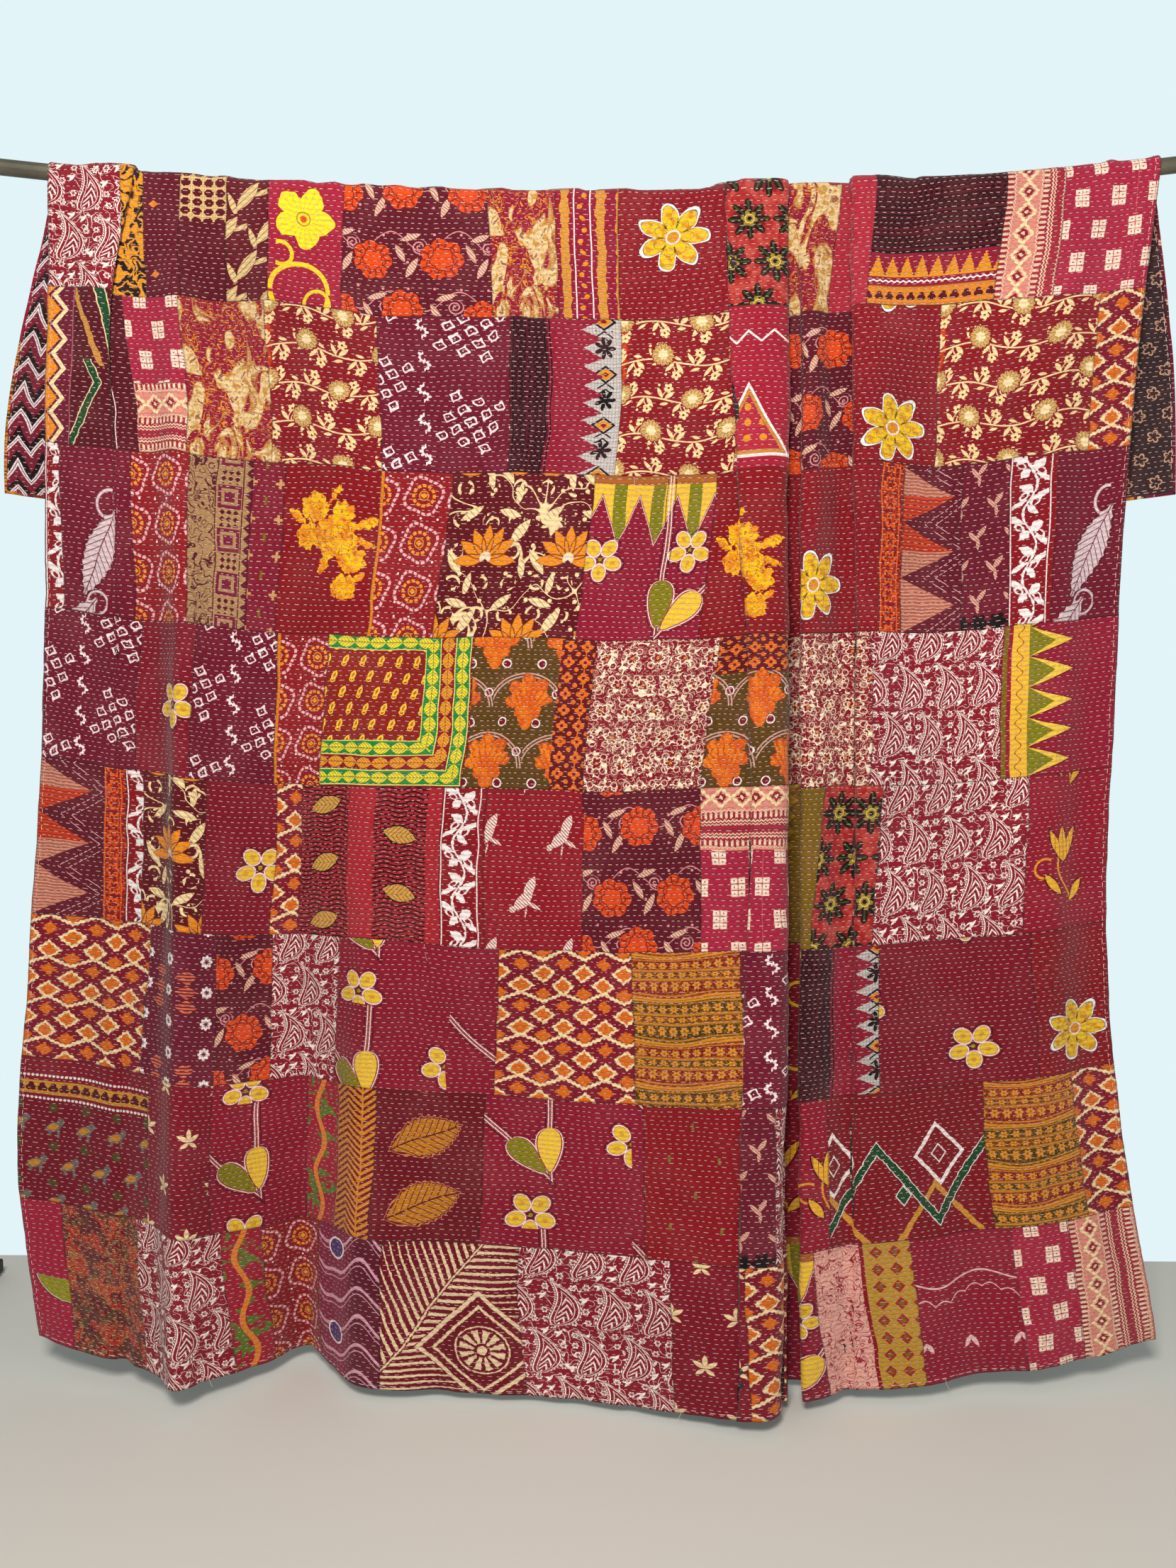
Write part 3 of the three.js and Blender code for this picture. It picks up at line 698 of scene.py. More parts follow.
def daisy(x, y, size=5.6):
    a, b = rep(x, 27.0), rep(y + cell(x, 27.0) * 11.0, 26.0)
    d = petals(a, b, 7, size, 0.5) + (grain(x, y, 0.5, 0.0) - 0.5) * 0.9
    slits = most(hoop(rep(angle_of(a, b) + 0.4488, 0.8976), 0.06), size * 0.3 - length(a, b))
    crinkle = grain(x * 2.2, y * 0.7, 1.4, 2.0)
    ground = paint(rgb(152, 22, 42), (soft(0.55 - crinkle, 4.0) * 0.4, rgb(186, 66, 80)))
    heart = disc(a, b, size * 0.2)
    return paint(
        ground,
        (soft(d - 0.62), BLACK),
        (soft(d - 0.5), rgb(250, 242, 236)),
        (soft(hoop(d, 0.06)), BLACK),
        (
            soft(d + 0.06),
            paint(rgb(242, 204, 44), (soft(0.55 - grain(x, y, 0.9, 2.0), 6.0) * 0.8, rgb(216, 150, 30))),
        ),
        (both(soft(d + 0.3), soft(slits)) * 0.9, BLACK),
        (soft(hoop(petals(a, b, 7, size * 0.6, 0.4), 0.05)) * 0.7, rgb(120, 60, 20)),
        (soft(heart), rgb(228, 160, 40)),
        (soft(hoop(heart, 0.14)), WHITE),
    )


def starflower(x, y):
    k = cell(y, 7.6)
    a, b = rep(x + k * 3.9, 7.8) + dice(k, 1.0) - 0.5, rep(y, 7.6)
    star = petals(a, b, 8, 3.7, 0.66)
    second = petals(a, b, 8, 3.0, 0.5, 1.57)
    core = petals(a, b, 6, 1.5, 0.5, 0.6)
    blot = grain(x, y, 0.5, 2.0)
    ground = paint(rgb(182, 52, 52), (soft(0.5 - blot, 5.0) * 0.7, rgb(206, 106, 92)))
    veins = hoop(rep(angle_of(a, b), 0.3927), 0.035)
    return paint(
        ground,
        (soft(second), rgb(150, 34, 40)),
        (soft(star), rgb(34, 32, 24)),
        (both(soft(star + 0.25), soft(veins)) * 0.8, rgb(120, 124, 44)),
        (soft(core), rgb(176, 150, 50)),
        (soft(disc(a, b, 0.4)), BLACK),
        (soft(hoop(disc(a, b, 0.8), 0.06)), rgb(240, 220, 150)),
    )


def coral(x, y):
    return paint(rgb(190, 66, 82), (grain(x * 3, y * 0.6, 0.6, 2.0) * 0.5, RASPBERRY))


def crosshatch(x, y, low):
    """Black bands of crosses and dots between two rules, 5.6 cm tall."""
    t = y - low
    cross = soft(absolute(zigzag(x, 0.9) - zigzag(t, 0.9)) - 0.13)
    cross = either(cross, soft(absolute(zigzag(x, 0.9) + zigzag(t, 0.9) - 0.9) - 0.13))
    rules = either(soft(absolute(t) - 0.14), soft(absolute(t - 5.6) - 0.14))
    dots = soft(disc(rep(x, 0.9), t - 2.8, 0.26))
    middle = soft(band(t, 2.1, 3.5))
    return either(
        either(both(soft(band(t, 0.3, 5.3)), both(cross, inverse(middle))), rules),
        both(middle, either(dots, soft(hoop(band(t, 2.1, 3.5), 0.08)))),
    )


def tribal_a(x, y):
    spires = soft(most(tooth(x, y - 5.0, 2.6, 3.4) + sine(y * 12) * 0.12, 4.9 - y))
    rope = soft(absolute(y - 4.2 + sine(x * 6) * 0.12) - 0.13)
    border = soft(band(y, 0.0, 3.4))
    drops = either(soft(petals(rep(x, 1.9), y - 1.6, 3, 0.8, 0.4, 0.8)), soft(hoop(band(y, 0.0, 3.4), 0.1)))
    black = crosshatch(x, y, 10.0)
    upper = crosshatch(x + 0.4, y, 16.4)
    ground = paint(RASPBERRY, (soft(9.4 - y), MAROON))
    return paint(
        ground,
        (either(black, upper), BLACK),
        (spires, GOLD),
        (soft(band(y, 8.9, 9.4)), BLACK),
        (rope, WHITE),
        (border, rgb(222, 150, 56)),
        (both(border, drops), MAROON),
    )


def tribal_b(x, y):
    black = crosshatch(y, x, 0.5)
    plaid = soft(12.5 - x + zigzag(y, 1.6) * 2.1 - sine(y * 14) * 0.1)
    lines = either(soft(absolute(rep(x, 0.55)) - 0.07), soft(absolute(rep(y, 0.55)) - 0.07))
    a, b = x - 16.2, rep(y, 9.0)
    motif = either(soft(hoop(lozenge(a, b, 1.9, 1.4), 0.22)), soft(lozenge(a, b, 0.8, 0.6)))
    palm = soft(petals(a, rep(y + 4.5, 9.0), 7, 1.9, 0.7))
    spear = soft(hoop(rep(y + absolute(a) * 0.7, 1.1), 0.16))
    spear = both(spear, soft(box(a, rep(y + 2.4, 9.0), 1.5, 0.9)))
    grey = paint(
        GREY,
        (lines * 0.45, rgb(120, 112, 112)),
        (either(either(motif, palm), spear), BLACK),
        (soft(lozenge(a, b, 1.5, 1.05)), GOLD),
        (soft(lozenge(a, b, 0.6, 0.45)), CRIMSON),
    )
    return paint(
        rgb(108, 34, 52),
        (soft(6.6 - x), RASPBERRY),
        (either(black, soft(absolute(x - 7.0) - 0.12)), BLACK),
        (plaid, grey),
    )


def ikat_band(x, y):
    """Pale bands that run up the cloth."""
    fuzz = (zigzag(y, 0.35) - 0.17) * 0.8
    s = rep(x - 3.4 + fuzz, 10.4)
    diamonds = lozenge(s, rep(y, 3.6), 1.5, 1.7)
    pale = soft(absolute(s) - 2.1)
    comb = most(band(absolute(s), 2.4, 3.4), absolute(rep(y, 0.9)) - 0.22)
    lines = least(
        absolute(absolute(s) - 3.9) - 0.12,
        least(absolute(absolute(s) - 4.4) - 0.1, absolute(absolute(s) - 2.2) - 0.1),
    )
    return paint(
        rgb(176, 60, 78),
        (pale, rgb(226, 156, 140)),
        (soft(hoop(diamonds, 0.3)), CREAM),
        (soft(diamonds + 0.6), rgb(160, 40, 66)),
        (soft(least(comb, lines)), rgb(244, 214, 186)),
        (soft(disc(s, rep(y, 3.6), 0.3)), CREAM),
    )


def ikat_rows(x, y):
    return ikat_band(y, x)


def sixdot(x, y, ground=rgb(184, 54, 86)):
    a, b = rep(x + cell(y, 5.4) * 3.1, 6.2), rep(y, 5.4)
    squares = box(rep(a + 0.62, 1.24), rep(b, 1.08), 0.48, 0.4) - grain(x, y, 1.4, 0.0) * 0.14
    pick = most(absolute(a) - 1.24, absolute(b) - 1.62)
    ink = paint(rgb(248, 226, 206), (soft(disc(rep(a + 0.62, 1.24), rep(b, 1.08), 0.13)), ground))
    return paint(ground, (soft(most(squares, pick)), ink), (soft(absolute(rep(x, 12.4)) - 0.07) * 0.5, PINK))


def sixdot_band(x, y):
    """Clusters below, a pale band above."""
    return paint(sixdot(x, y), (soft(17.0 - y), ikat_rows(x, y - 1.5)))


def band_sixdot(x, y):
    return paint(sixdot(x, y), (soft(y - 12.0), ikat_rows(x, y - 5.0)))


def zigtri(x, y):
    t = zigzag(y, 2.6) * 0.9
    return paint(
        PLUM,
        (soft(absolute(x - t - 1.2) - 0.5), CREAM),
        (soft(x - t - 0.1), rgb(236, 160, 40)),
        (soft(absolute(x - 5.0) - 0.09), PINK),
    )


def strokes(x, y):
    rough = (grain(x, y, 0.7, 2.0) - 0.5) * 1.2
    s = x + absolute(y - 11.0) * 0.42 + rough * 0.5
    gold = both(soft(absolute(s - 6.6) - 0.5), soft(14.0 - y))
    green = both(soft(absolute(s - 4.6) - 0.62), soft(y - 15.0))
    second = both(soft(absolute(x - (y - 14.0) * -0.3 - 8.3 + rough * 0.3) - 0.75), soft(14.5 - y))
    edge = either(
        both(soft(absolute(s - 4.6) - 0.8), soft(y - 15.0)),
        both(soft(absolute(x + (y - 14.0) * 0.3 - 8.3 + rough * 0.3) - 0.95), soft(14.5 - y)),
    )
    return paint(
        MAROON,
        (edge, CREAM),
        (gold, rgb(208, 156, 82)),
        (either(green, second), GREEN),
        (soft(absolute(x - 9.7) - 0.08), WHITE),
    )


def bandhani(x, y):
    """Clusters of tied squares and columns of tied stars."""
    k = cell(x, 15.0)
    y2 = y + k * 7.0
    a, b = turned(rep(x, 15.0), rep(y2, 16.0), 28)
    sq = box(rep(a, 2.7), rep(b, 2.5), 0.7, 0.6) + (grain(x, y, 1.1, 0.0) - 0.5) * 0.5
    pick = absolute(cell(a, 2.7) * 2.7) + absolute(cell(b, 2.5) * 2.7) - 6.0
    rings = most(hoop(sq, 0.14), pick)
    dots = most(disc(rep(a, 2.7), rep(b, 2.5), 0.1), pick)
    sx, sy = rep(x + 7.5, 15.0), rep(y2 + 2.0, 5.6)
    star = petals(sx, sy, 8, 1.1, 0.35) + (grain(x, y, 1.3, 0.0) - 0.5) * 0.4
    stars = most(star, 0.5 - length(sx, sy))
    return paint(
        paint(rgb(140, 30, 66), (grain(x, y, 0.2, 2.0) * 0.4, rgb(112, 20, 52))),
        (soft(least(least(rings, dots), stars)), rgb(250, 232, 232)),
    )


def star_rings(x, y):
    a, b = rep(x, 7.0), rep(y, 5.6)
    star = petals(a, b, 8, 1.15, 0.3)
    stars = both(soft(star), inverse(soft(star + 0.6)))
    tri = both(
        soft(tooth(rep(y + 2.8, 5.6) + 1.4, absolute(rep(x + 3.5, 7.0)), 2.8, 1.8)),
        soft(absolute(rep(y, 16.8)) - 4.0),
    )
    return paint(PLUM, (stars, WHITE), (both(tri, soft(absolute(rep(y, 0.6)) - 0.16)), rgb(226, 130, 90)))


def rings(x, y):
    a, b = rep(x, 7.4), rep(y, 7.8)
    r = length(a, b)
    outer = both(
        soft(absolute(r - 3.0 - sine(angle_of(a, b) * 4) * 0.3) - 0.24),
        soft(absolute(rep(angle_of(a, b), 0.3)) - 0.1, 14.0),
    )
    inner = both(soft(absolute(r - 1.7) - 0.25), soft(absolute(rep(angle_of(a, b), 0.5236)) - 0.18, 14.0))
    dot = soft(lozenge(a, b, 0.6, 0.5))
    tiny = soft(disc(rep(x + 1.4, 2.9), rep(y + 1.1, 2.3), 0.19))
    return paint(
        BRICK,
        (both(tiny, soft(3.4 - r)), WHITE),
        (outer, rgb(244, 196, 196)),
        (either(inner, dot), rgb(240, 168, 60)),
        (soft(hoop(disc(a, b, 0.75), 0.1)), GOLD),
    )


def rings_bar(x, y):
    return paint(rings(x, y), (soft(absolute(x + 0.2) - 0.75), rgb(224, 146, 36)))


def tan_scroll(x, y):
    left = soft(absolute(grain(x, y, 0.5, 0.0, 1.4) - 0.5) - 0.06, 20.0)
    a, b = x - 7.2, rep(y, 7.0)
    square = least(hoop(box(a, b, 1.6, 1.6), 0.28), box(a, b, 0.8, 0.8))
    small = most(
        lozenge(rep(x - 7.2, 1.1), rep(y + 3.5, 1.1), 0.46, 0.46),
        box(a, rep(y + 3.5, 7.0), 1.8, 1.4),
    )
    jag = soft(x - 9.6 - zigzag(y, 0.9) * 1.2)
    cross = least(box(x - 13.2, rep(y, 5.0), 1.0, 0.3), box(x - 13.2, rep(y, 5.0), 0.3, 1.0))
    cloth = paint(
        rgb(186, 152, 112),
        (both(left, soft(x - 4.8)), rgb(112, 30, 54)),
        (soft(square), rgb(140, 44, 78)),
        (soft(small), MAROON),
    )
    rules = soft(least(absolute(x - 4.9), absolute(x - 9.3)) - 0.1)
    return paint(rgb(122, 26, 54), (soft(cross), rgb(220, 190, 150)), (jag, cloth), (rules, MAROON))


def crosses(x, y):
    a, b = rep(x, 5.0), rep(y, 6.0)
    return paint(
        rgb(150, 38, 66),
        (either(soft(box(a, b, 0.8, 0.22)), soft(box(a, b, 0.22, 0.8))), rgb(214, 170, 120)),
        (soft(box(rep(x + 2.5, 5.0), rep(y + 3, 6.0), 0.25, 0.7)), OLIVE),
    )


def rose(x, y):
    a, b = rep(x, 27.0), rep(y, 27.0)
    heads = [
        (0.6, -1.2, 3.9),
        (-3.4, 3.4, 2.7),
        (3.8, -4.8, 2.3),
        (-4.4, -1.2, 2.3),
        (1.6, 3.0, 1.9),
        (2.8, -9.2, 2.2),
    ]
    shape = None
    for cx, cy, size in heads:
        d = petals(a - cx, b - cy, 7, size, 0.2, cx)
        shape = d if shape is None else least(shape, d)
    for cx, cy, size, lean in (
        (5.6, 1.4, 2.4, 20),
        (-6.6, 1.8, 2.0, 140),
        (5.4, -1.8, 2.0, 160),
        (-1.0, -5.6, 2.0, 70),
        (0.2, 6.0, 1.8, 60),
        (5.2, -7.4, 1.6, 40),
    ):
        shape = least(shape, leaf(a - cx, b - cy, size, size * 0.36, lean))
    shape = shape + (grain(x, y, 1.0, 2.0, 0.4) - 0.5) * 1.3
    lines = soft(absolute(grain(x, y, 0.75, 1.0, 1.3) - 0.5) - 0.03, 30.0)
    tint = paint(
        rgb(250, 202, 20),
        (soft(0.5 - grain(x, y, 0.5, 2.0), 5.0), rgb(236, 160, 14)),
        (lines * 0.8, rgb(186, 84, 20)),
    )
    return paint(rgb(156, 16, 36), (soft(shape), tint))


def lotus(a, b, size):
    """A flower seen from the side: pointed petals fanned out over a pale heart."""
    shape, lines = None, None
    for lean in (30, 60, 90, 120, 150, -5, 185):
        p, q = turned(a, b + size * 0.45, lean)
        d = leaf(p - size * 0.84, q, size * 0.84, size * 0.3)
        line = hoop(d, 0.07)
        shape = d if shape is None else least(shape, d)
        lines = line if lines is None else least(lines, line)
    heart_ = soft(disc(a, b + size * 0.4, size * 0.3))
    return soft(shape), paint(
        rgb(236, 158, 30),
        (soft(lines) * 0.85, rgb(128, 40, 30)),
        (heart_, rgb(240, 220, 190)),
    )


def jacobean(x, y):
    x, y = x * 0.74, y * 0.74
    k = cell(y, 11.0)
    a, b = rep(x + k * 5.5, 11.0), rep(y, 11.0)
    head, tint = lotus(a, b, 2.5)
    stems = (absolute(grain(x + 4, y, 0.2, 0.0, 0.8) - 0.5) - 0.016) * 9.0
    wide = least(leaf(a - 4.2, b - 2.0, 2.0, 0.62, 55), leaf(a + 4.0, b + 1.6, 1.9, 0.6, 125))
    wide = least(wide, least(leaf(a - 2.6, b - 4.3, 1.6, 0.5, 165), leaf(a + 2.6, b - 4.4, 1.6, 0.5, 35)))
    wide = least(wide, least(leaf(a - 5.1, b + 2.4, 1.4, 0.45, 95), leaf(a + 1.9, b + 4.3, 1.5, 0.45, 80)))
    curls = most(hoop(disc(rep(x + 2, 3.7), rep(y + 1, 3.9), 0.85), 0.17), (grain(x, y, 0.9) - 0.5) * 4.0)
    buds = disc(rep(x + 0.6, 3.1), rep(y + 2.2, 3.4), 0.27)
    ink = most(least(least(stems, wide), least(curls, buds)), 3.1 - length(a, b))
    cut = soft(hoop(rep(a + b, 0.9), 0.05))
    return paint(
        rgb(120, 14, 36),
        (soft(ink), rgb(246, 222, 176)),
        (both(soft(wide), cut) * 0.8, MAROON),
        (head, tint),
    )


def white_vine(x, y):
    """A white vine with paired leaves up the middle of a strip, between two rules."""
    s = sine(y * 0.62) * 1.1
    a, b = x - 3.4 - s, rep(y, 5.06)
    shape = absolute(a) - 0.2
    for at, lift, lean, size in (
        (1.5, 0.6, 30, 1.7),
        (-1.5, 1.9, 150, 1.7),
        (1.3, -1.7, -38, 1.4),
        (-1.4, -0.7, 212, 1.4),
    ):
        shape = least(shape, leaf(a - at, b - lift, size, size * 0.36, lean))
    shape = least(shape, hoop(disc(a - 1.2, b + 0.5, 0.62), 0.15))
    shape = least(shape, hoop(disc(a + 1.3, b - 0.6, 0.55), 0.15))
    shape = shape + (grain(x, y, 1.6, 1.0) - 0.5) * 0.5
    rules = least(absolute(x - 0.25) - 0.1, absolute(x - 6.6) - 0.1)
    return paint(CRIMSON, (soft(least(most(shape, absolute(x - 3.4) - 2.95), rules)), WHITE))


def feather(x, y):
    x, y = x * 0.68, y * 0.68
    a, b = rep(x, 15.0), rep(y + 2, 24.0)
    p, q = turned(a, b, 66)
    fan = leaf(p, q, 5.6, 1.9) + absolute(sine(p * 3.0)) * 0.25
    p2, q2 = turned(a + 3.2, b + 8.4, 50)
    tail_ = leaf(p2, q2, 4.6, 1.6) + absolute(sine(p2 * 3.0)) * 0.25
    scales = hoop(rep(p + absolute(q) * 1.1, 0.9), 0.07)
    scales2 = hoop(rep(p2 + absolute(q2) * 1.1, 0.9), 0.07)
    hook = most(hoop(disc(a - 1.6, b - 5.4, 1.6), 0.16), a - 1.9)
    hook = least(hook, most(hoop(disc(a + 0.4, b + 5.6, 1.3), 0.13), a - 0.9))
    ground = rgb(138, 28, 62)
    return paint(
        ground,
        (soft(least(least(fan, tail_), hook)), rgb(226, 206, 208)),
        (both(soft(fan), soft(least(scales, absolute(q) - 0.07))), ground),
        (both(soft(tail_), soft(least(scales2, absolute(q2) - 0.07))), ground),
        (soft(hoop(fan - 0.2, 0.04)), BLACK),
    )


def five(a, b, size=3.6):
    p, q = around(a, b, 5, 0.3)
    d = length((p - size * 0.7) * 0.78, q) - size * 0.31
    centre = disc(a, b, size * 0.19)
    return [
        (soft(hoop(least(d, centre) - 0.55, 0.06)), rgb(50, 10, 26)),
        (soft(hoop(d - 0.14, 0.1)), rgb(250, 226, 214)),
        (soft(d), rgb(238, 200, 70)),
        (soft(d + size * 0.2), rgb(222, 176, 44)),
        (soft(centre), rgb(120, 24, 44)),
        (soft(disc(a, b, size * 0.1)), LIME),
    ]


def heart(a, b, lean=24):
    a, b = turned(a, b, lean)
    p, q = turned(absolute(a) - 1.9, b - 0.3, 68)
    t = p * 0.25
    d = absolute(q) - root(most(1.0 - t * t, 0.0)) * (t * 0.5 + 1.0) * 1.75
    stem = most(absolute(a + sine(b * 0.8) * 0.2) - 0.07, absolute(b + 4.6) - 1.5)
    return [
        (soft(hoop(d - 0.75, 0.06)), rgb(50, 10, 26)),
        (soft(hoop(d - 0.28, 0.09)), rgb(250, 226, 224)),
        (soft(stem), rgb(60, 10, 24)),
        (soft(d), rgb(240, 202, 80)),
        (both(soft(d), soft(a)), rgb(152, 142, 14)),
    ]


def garden(x, y, ground=rgb(160, 34, 66)):
    a, b = rep(x, 30.0), rep(y, 27.0)
    return paint(ground, *heart(a, b), *five(a + 1.0, b + 11.2), *five(a - 15.0, b - 3.0))


def petal(x, y):
    return paint(rgb(150, 28, 58), *five(rep(x, 19.0), rep(y + cell(x, 19.0) * 9, 24.0)))


def teeth(x, y):
    spikes = tooth(x - 1.5, 24.5 - y, 6.4, 8.0)
    stripe = most(spikes, absolute(rep(x + 1.8, 6.4)) - 1.1)
    ground = paint(
        rgb(162, 36, 70),
        (soft(hoop(spikes - 0.25, 0.07)), WHITE),
        (soft(spikes), rgb(240, 200, 80)),
        (soft(stripe), rgb(150, 144, 20)),
        (soft(26.0 - y), rgb(186, 120, 60)),
    )
    return paint(
        ground,
        *five(x - 2.5, y - 13.5, 3.2),
        *five(x - 17.5, y - 15.0, 3.2),
        *heart(x - 15.5, y - 5.0, -20),
    )


def side_teeth(x, y):
    spikes = most(tooth(y, x - 4.6, 5.4, 8.0), 4.6 - x)
    inner = most(tooth(y, x - 4.6, 5.4, 4.6), 4.6 - x)
    wavy = absolute(x - 3.1 - sine(y * 2.4) * 0.5) - 0.1
    return paint(
        rgb(168, 38, 72),
        (soft(absolute(x - 0.6) - 0.4), OLIVE),
        (soft(hoop(spikes - 0.3, 0.07)), BLACK),
        (soft(spikes), rgb(244, 208, 90)),
        (soft(inner), rgb(150, 144, 20)),
        (soft(band(x, 1.7, 4.6)), rgb(240, 196, 74)),
        (soft(wavy), rgb(176, 96, 40)),
    )


def striped_tri(x, y):
    big = tooth(y, x, 9.0, 9.5)
    weave = soft(hoop(rep(y + sine(x * 2.0) * 0.05, 0.55), 0.15))
    odd = dice(cell(y, 9.0), 3.0)
    warm = paint(rgb(226, 164, 140), (soft(0.5 - odd, 50.0), rgb(222, 88, 30)))
    far = zigzag(y + 4.5, 4.5)
    dashed = most(hoop(absolute(x - 9.5 + far * 1.6 - 3.0) - 1.0, 0.1), absolute(rep(x + y, 1.3)) - 0.42)
    return paint(
        rgb(124, 30, 56),
        (soft(dashed), rgb(240, 196, 200)),
        (soft(big), warm),
        (both(soft(big), weave) * 0.6, rgb(140, 50, 50)),
    )


def floral_stripe(x, y):
    a, b = x - 1.9, rep(y, 3.0)
    bud = petals(a, b, 6, 1.1, 0.45)
    marks = soft(absolute(grain(x, y, 1.0, 1.0, 0.8) - 0.5) - 0.05, 26.0)
    rules = either(soft(absolute(x - 0.3) - 0.12), soft(absolute(x - 3.5) - 0.12))
    return paint(
        rgb(150, 34, 40),
        (marks * 0.7, ORANGE),
        (either(soft(hoop(bud, 0.2)), rules), rgb(236, 120, 40)),
    )


def olive_ground(x, y):
    """Orange lotus heads on arching stems and white-ringed spots, on olive."""
    a, b = rep(x - 4.0 + cell(y - 5.0, 11.0) * 6.5, 13.0), rep(y - 5.0, 11.0)
    rough = (grain(x, y, 1.1, 1.0) - 0.5) * 0.9
    head = least(petals(a, b - 0.6, 7, 4.2, 0.3, 0.5), leaf(a, b + 2.6, 3.4, 1.5, 90)) + rough
    lines = soft(absolute(rep(angle_of(a, b + 4.0) * 4.6 + rough, 0.85)) - 0.1)
    tint = paint(
        rgb(238, 142, 26),
        (lines * 0.7, rgb(176, 84, 20)),
        (soft(0.48 - grain(x, y, 0.4, 1.0), 5.0) * 0.6, rgb(214, 96, 24)),
    )
    arch = most(absolute(absolute(length(a + 0.5, b + 2.0) - 6.6) - 0.28) - 0.12, -b - 1.5)
    spot = disc(rep(x + cell(y - 1.0, 5.4) * 3.1, 6.2), rep(y - 1.0, 5.4), 0.62) + rough * 0.25
    return paint(
        rgb(122, 92, 22),
        (grain(x, y, 0.6, 2.0) * 0.45, rgb(92, 62, 18)),
        (soft(spot - 0.22), WHITE),
        (soft(spot), rgb(140, 26, 44)),
        (soft(arch), rgb(222, 180, 170)),
        (soft(head - 0.12), rgb(176, 74, 24)),
        (soft(head), tint),
    )


def olive_border(x, y):
    """Small orange flowers in two rows, across the strip and along it."""
    flower = petals(rep(x, 2.9), rep(y, 2.9), 4, 1.05, 0.4)
    buds = least(disc(rep(x + 1.4, 2.9), rep(y + 1.4, 2.9), 0.42), absolute(x - 2.9) - 0.1)
    return paint(
        rgb(126, 26, 34),
        (soft(least(flower, buds)), rgb(230, 132, 36)),
        (soft(disc(rep(x, 2.9), rep(y, 2.9), 0.3)), PLUM),
    )


def olive(x, y):
    return paint(olive_ground(x, y), (soft(20.5 - y), olive_border(y - 22.0, x)))


def olive_side(x, y):
    return paint(olive_ground(x, y), (soft(15.6 - x), olive_border(x - 17.1, y)))


def brick_paisley(x, y):
    """Small paisleys inside a border of three strips, green and red in turn, with leaves along them."""
    a, b = rep(x + cell(y, 2.9) * 1.6, 3.2), rep(y, 2.9)
    drop = leaf(a, b, 0.95, 0.5, 70)
    hook = most(hoop(disc(a + 0.2, b + 0.8, 0.38), 0.1), a - 0.25)
    centre = paint(
        rgb(160, 50, 38),
        (soft(least(drop, hook)), rgb(246, 206, 70)),
        (soft(drop + 0.32), rgb(196, 120, 40)),
    )
    right, below = 25.6 - x, least(y - 0.4, 33.2 - y)
    side = soft(right - below, 50.0)
    along = rep(side * y + inverse(side) * x, 2.9)
    edge = least(right, below) - 1.35
    odd = absolute(fract(cell(edge, 2.7) * 0.5) * 2.0)
    t = rep(edge, 2.7)
    blade = leaf(along, t, 1.5, 1.02)
    veins = soft(least(absolute(t) - 0.05, absolute(rep(along + absolute(t) * 0.9, 0.56)) - 0.05))
    ground = paint(rgb(54, 152, 80), (odd, rgb(156, 40, 40)))
    tint = paint(rgb(238, 224, 76), (odd, rgb(240, 170, 54)))
    bands = paint(
        ground,
        (soft(blade), tint),
        (both(soft(blade), veins), rgb(120, 96, 30)),
        (soft(1.27 - absolute(t)), rgb(238, 232, 140)),
    )
    return paint(centre, (soft(edge - 6.8), bands))


def net_black(x, y):
    net = soft(absolute(rep(y + sine(x * 1.4) * 0.25, 0.8)) - 0.14)
    net = either(
        net,
        both(soft(absolute(rep(x + cell(y, 0.8) * 0.7, 1.4)) - 0.1), soft(absolute(rep(y + 0.4, 0.8)) - 0.3)),
    )
    bands = either(soft(absolute(x - 5.0) - 4.9), soft(absolute(x - 19.5) - 4.6))
    a, b = x - 5.2, rep(y - 3, 10.5)
    shape = leaf(a, b, 2.9, 1.5, 18)
    vein = soft(absolute(rep(a + absolute(b) * 0.9, 0.8)) - 0.06)
    a2, b2 = x - 19.4, rep(y + 2, 10.5)
    shape2 = leaf(a2, b2, 2.9, 1.5, -14)
    leaves = either(soft(shape), soft(shape2))
    return paint(
        rgb(182, 54, 66),
        (both(bands, net), BLACK),
        (either(soft(shape - 0.25), soft(shape2 - 0.25)), BLACK),
        (leaves, rgb(214, 170, 90)),
        (both(leaves, vein), rgb(110, 50, 30)),
    )


def birds(x, y):
    a, b = rep(x + cell(y + 2.0, 10.5) * 6.5, 13.0), rep(y + 2.0, 10.5)
    body = least(leaf(a, b, 2.3, 0.95, 40), disc(a + 1.9, b + 1.4, 0.55))
    body = least(body, least(leaf(a - 1.2, b - 2.2, 2.2, 0.8, 66), leaf(a - 1.6, b + 0.6, 1.6, 0.35, 150)))
    body = least(body, leaf(a - 0.4, b + 1.9, 1.0, 0.14, 80))
    plumes = soft(absolute(rep(a + b, 0.62)) - 0.09)
    return paint(rgb(164, 28, 52), (soft(body), rgb(248, 226, 216)), (both(soft(body), plumes), CRIMSON))


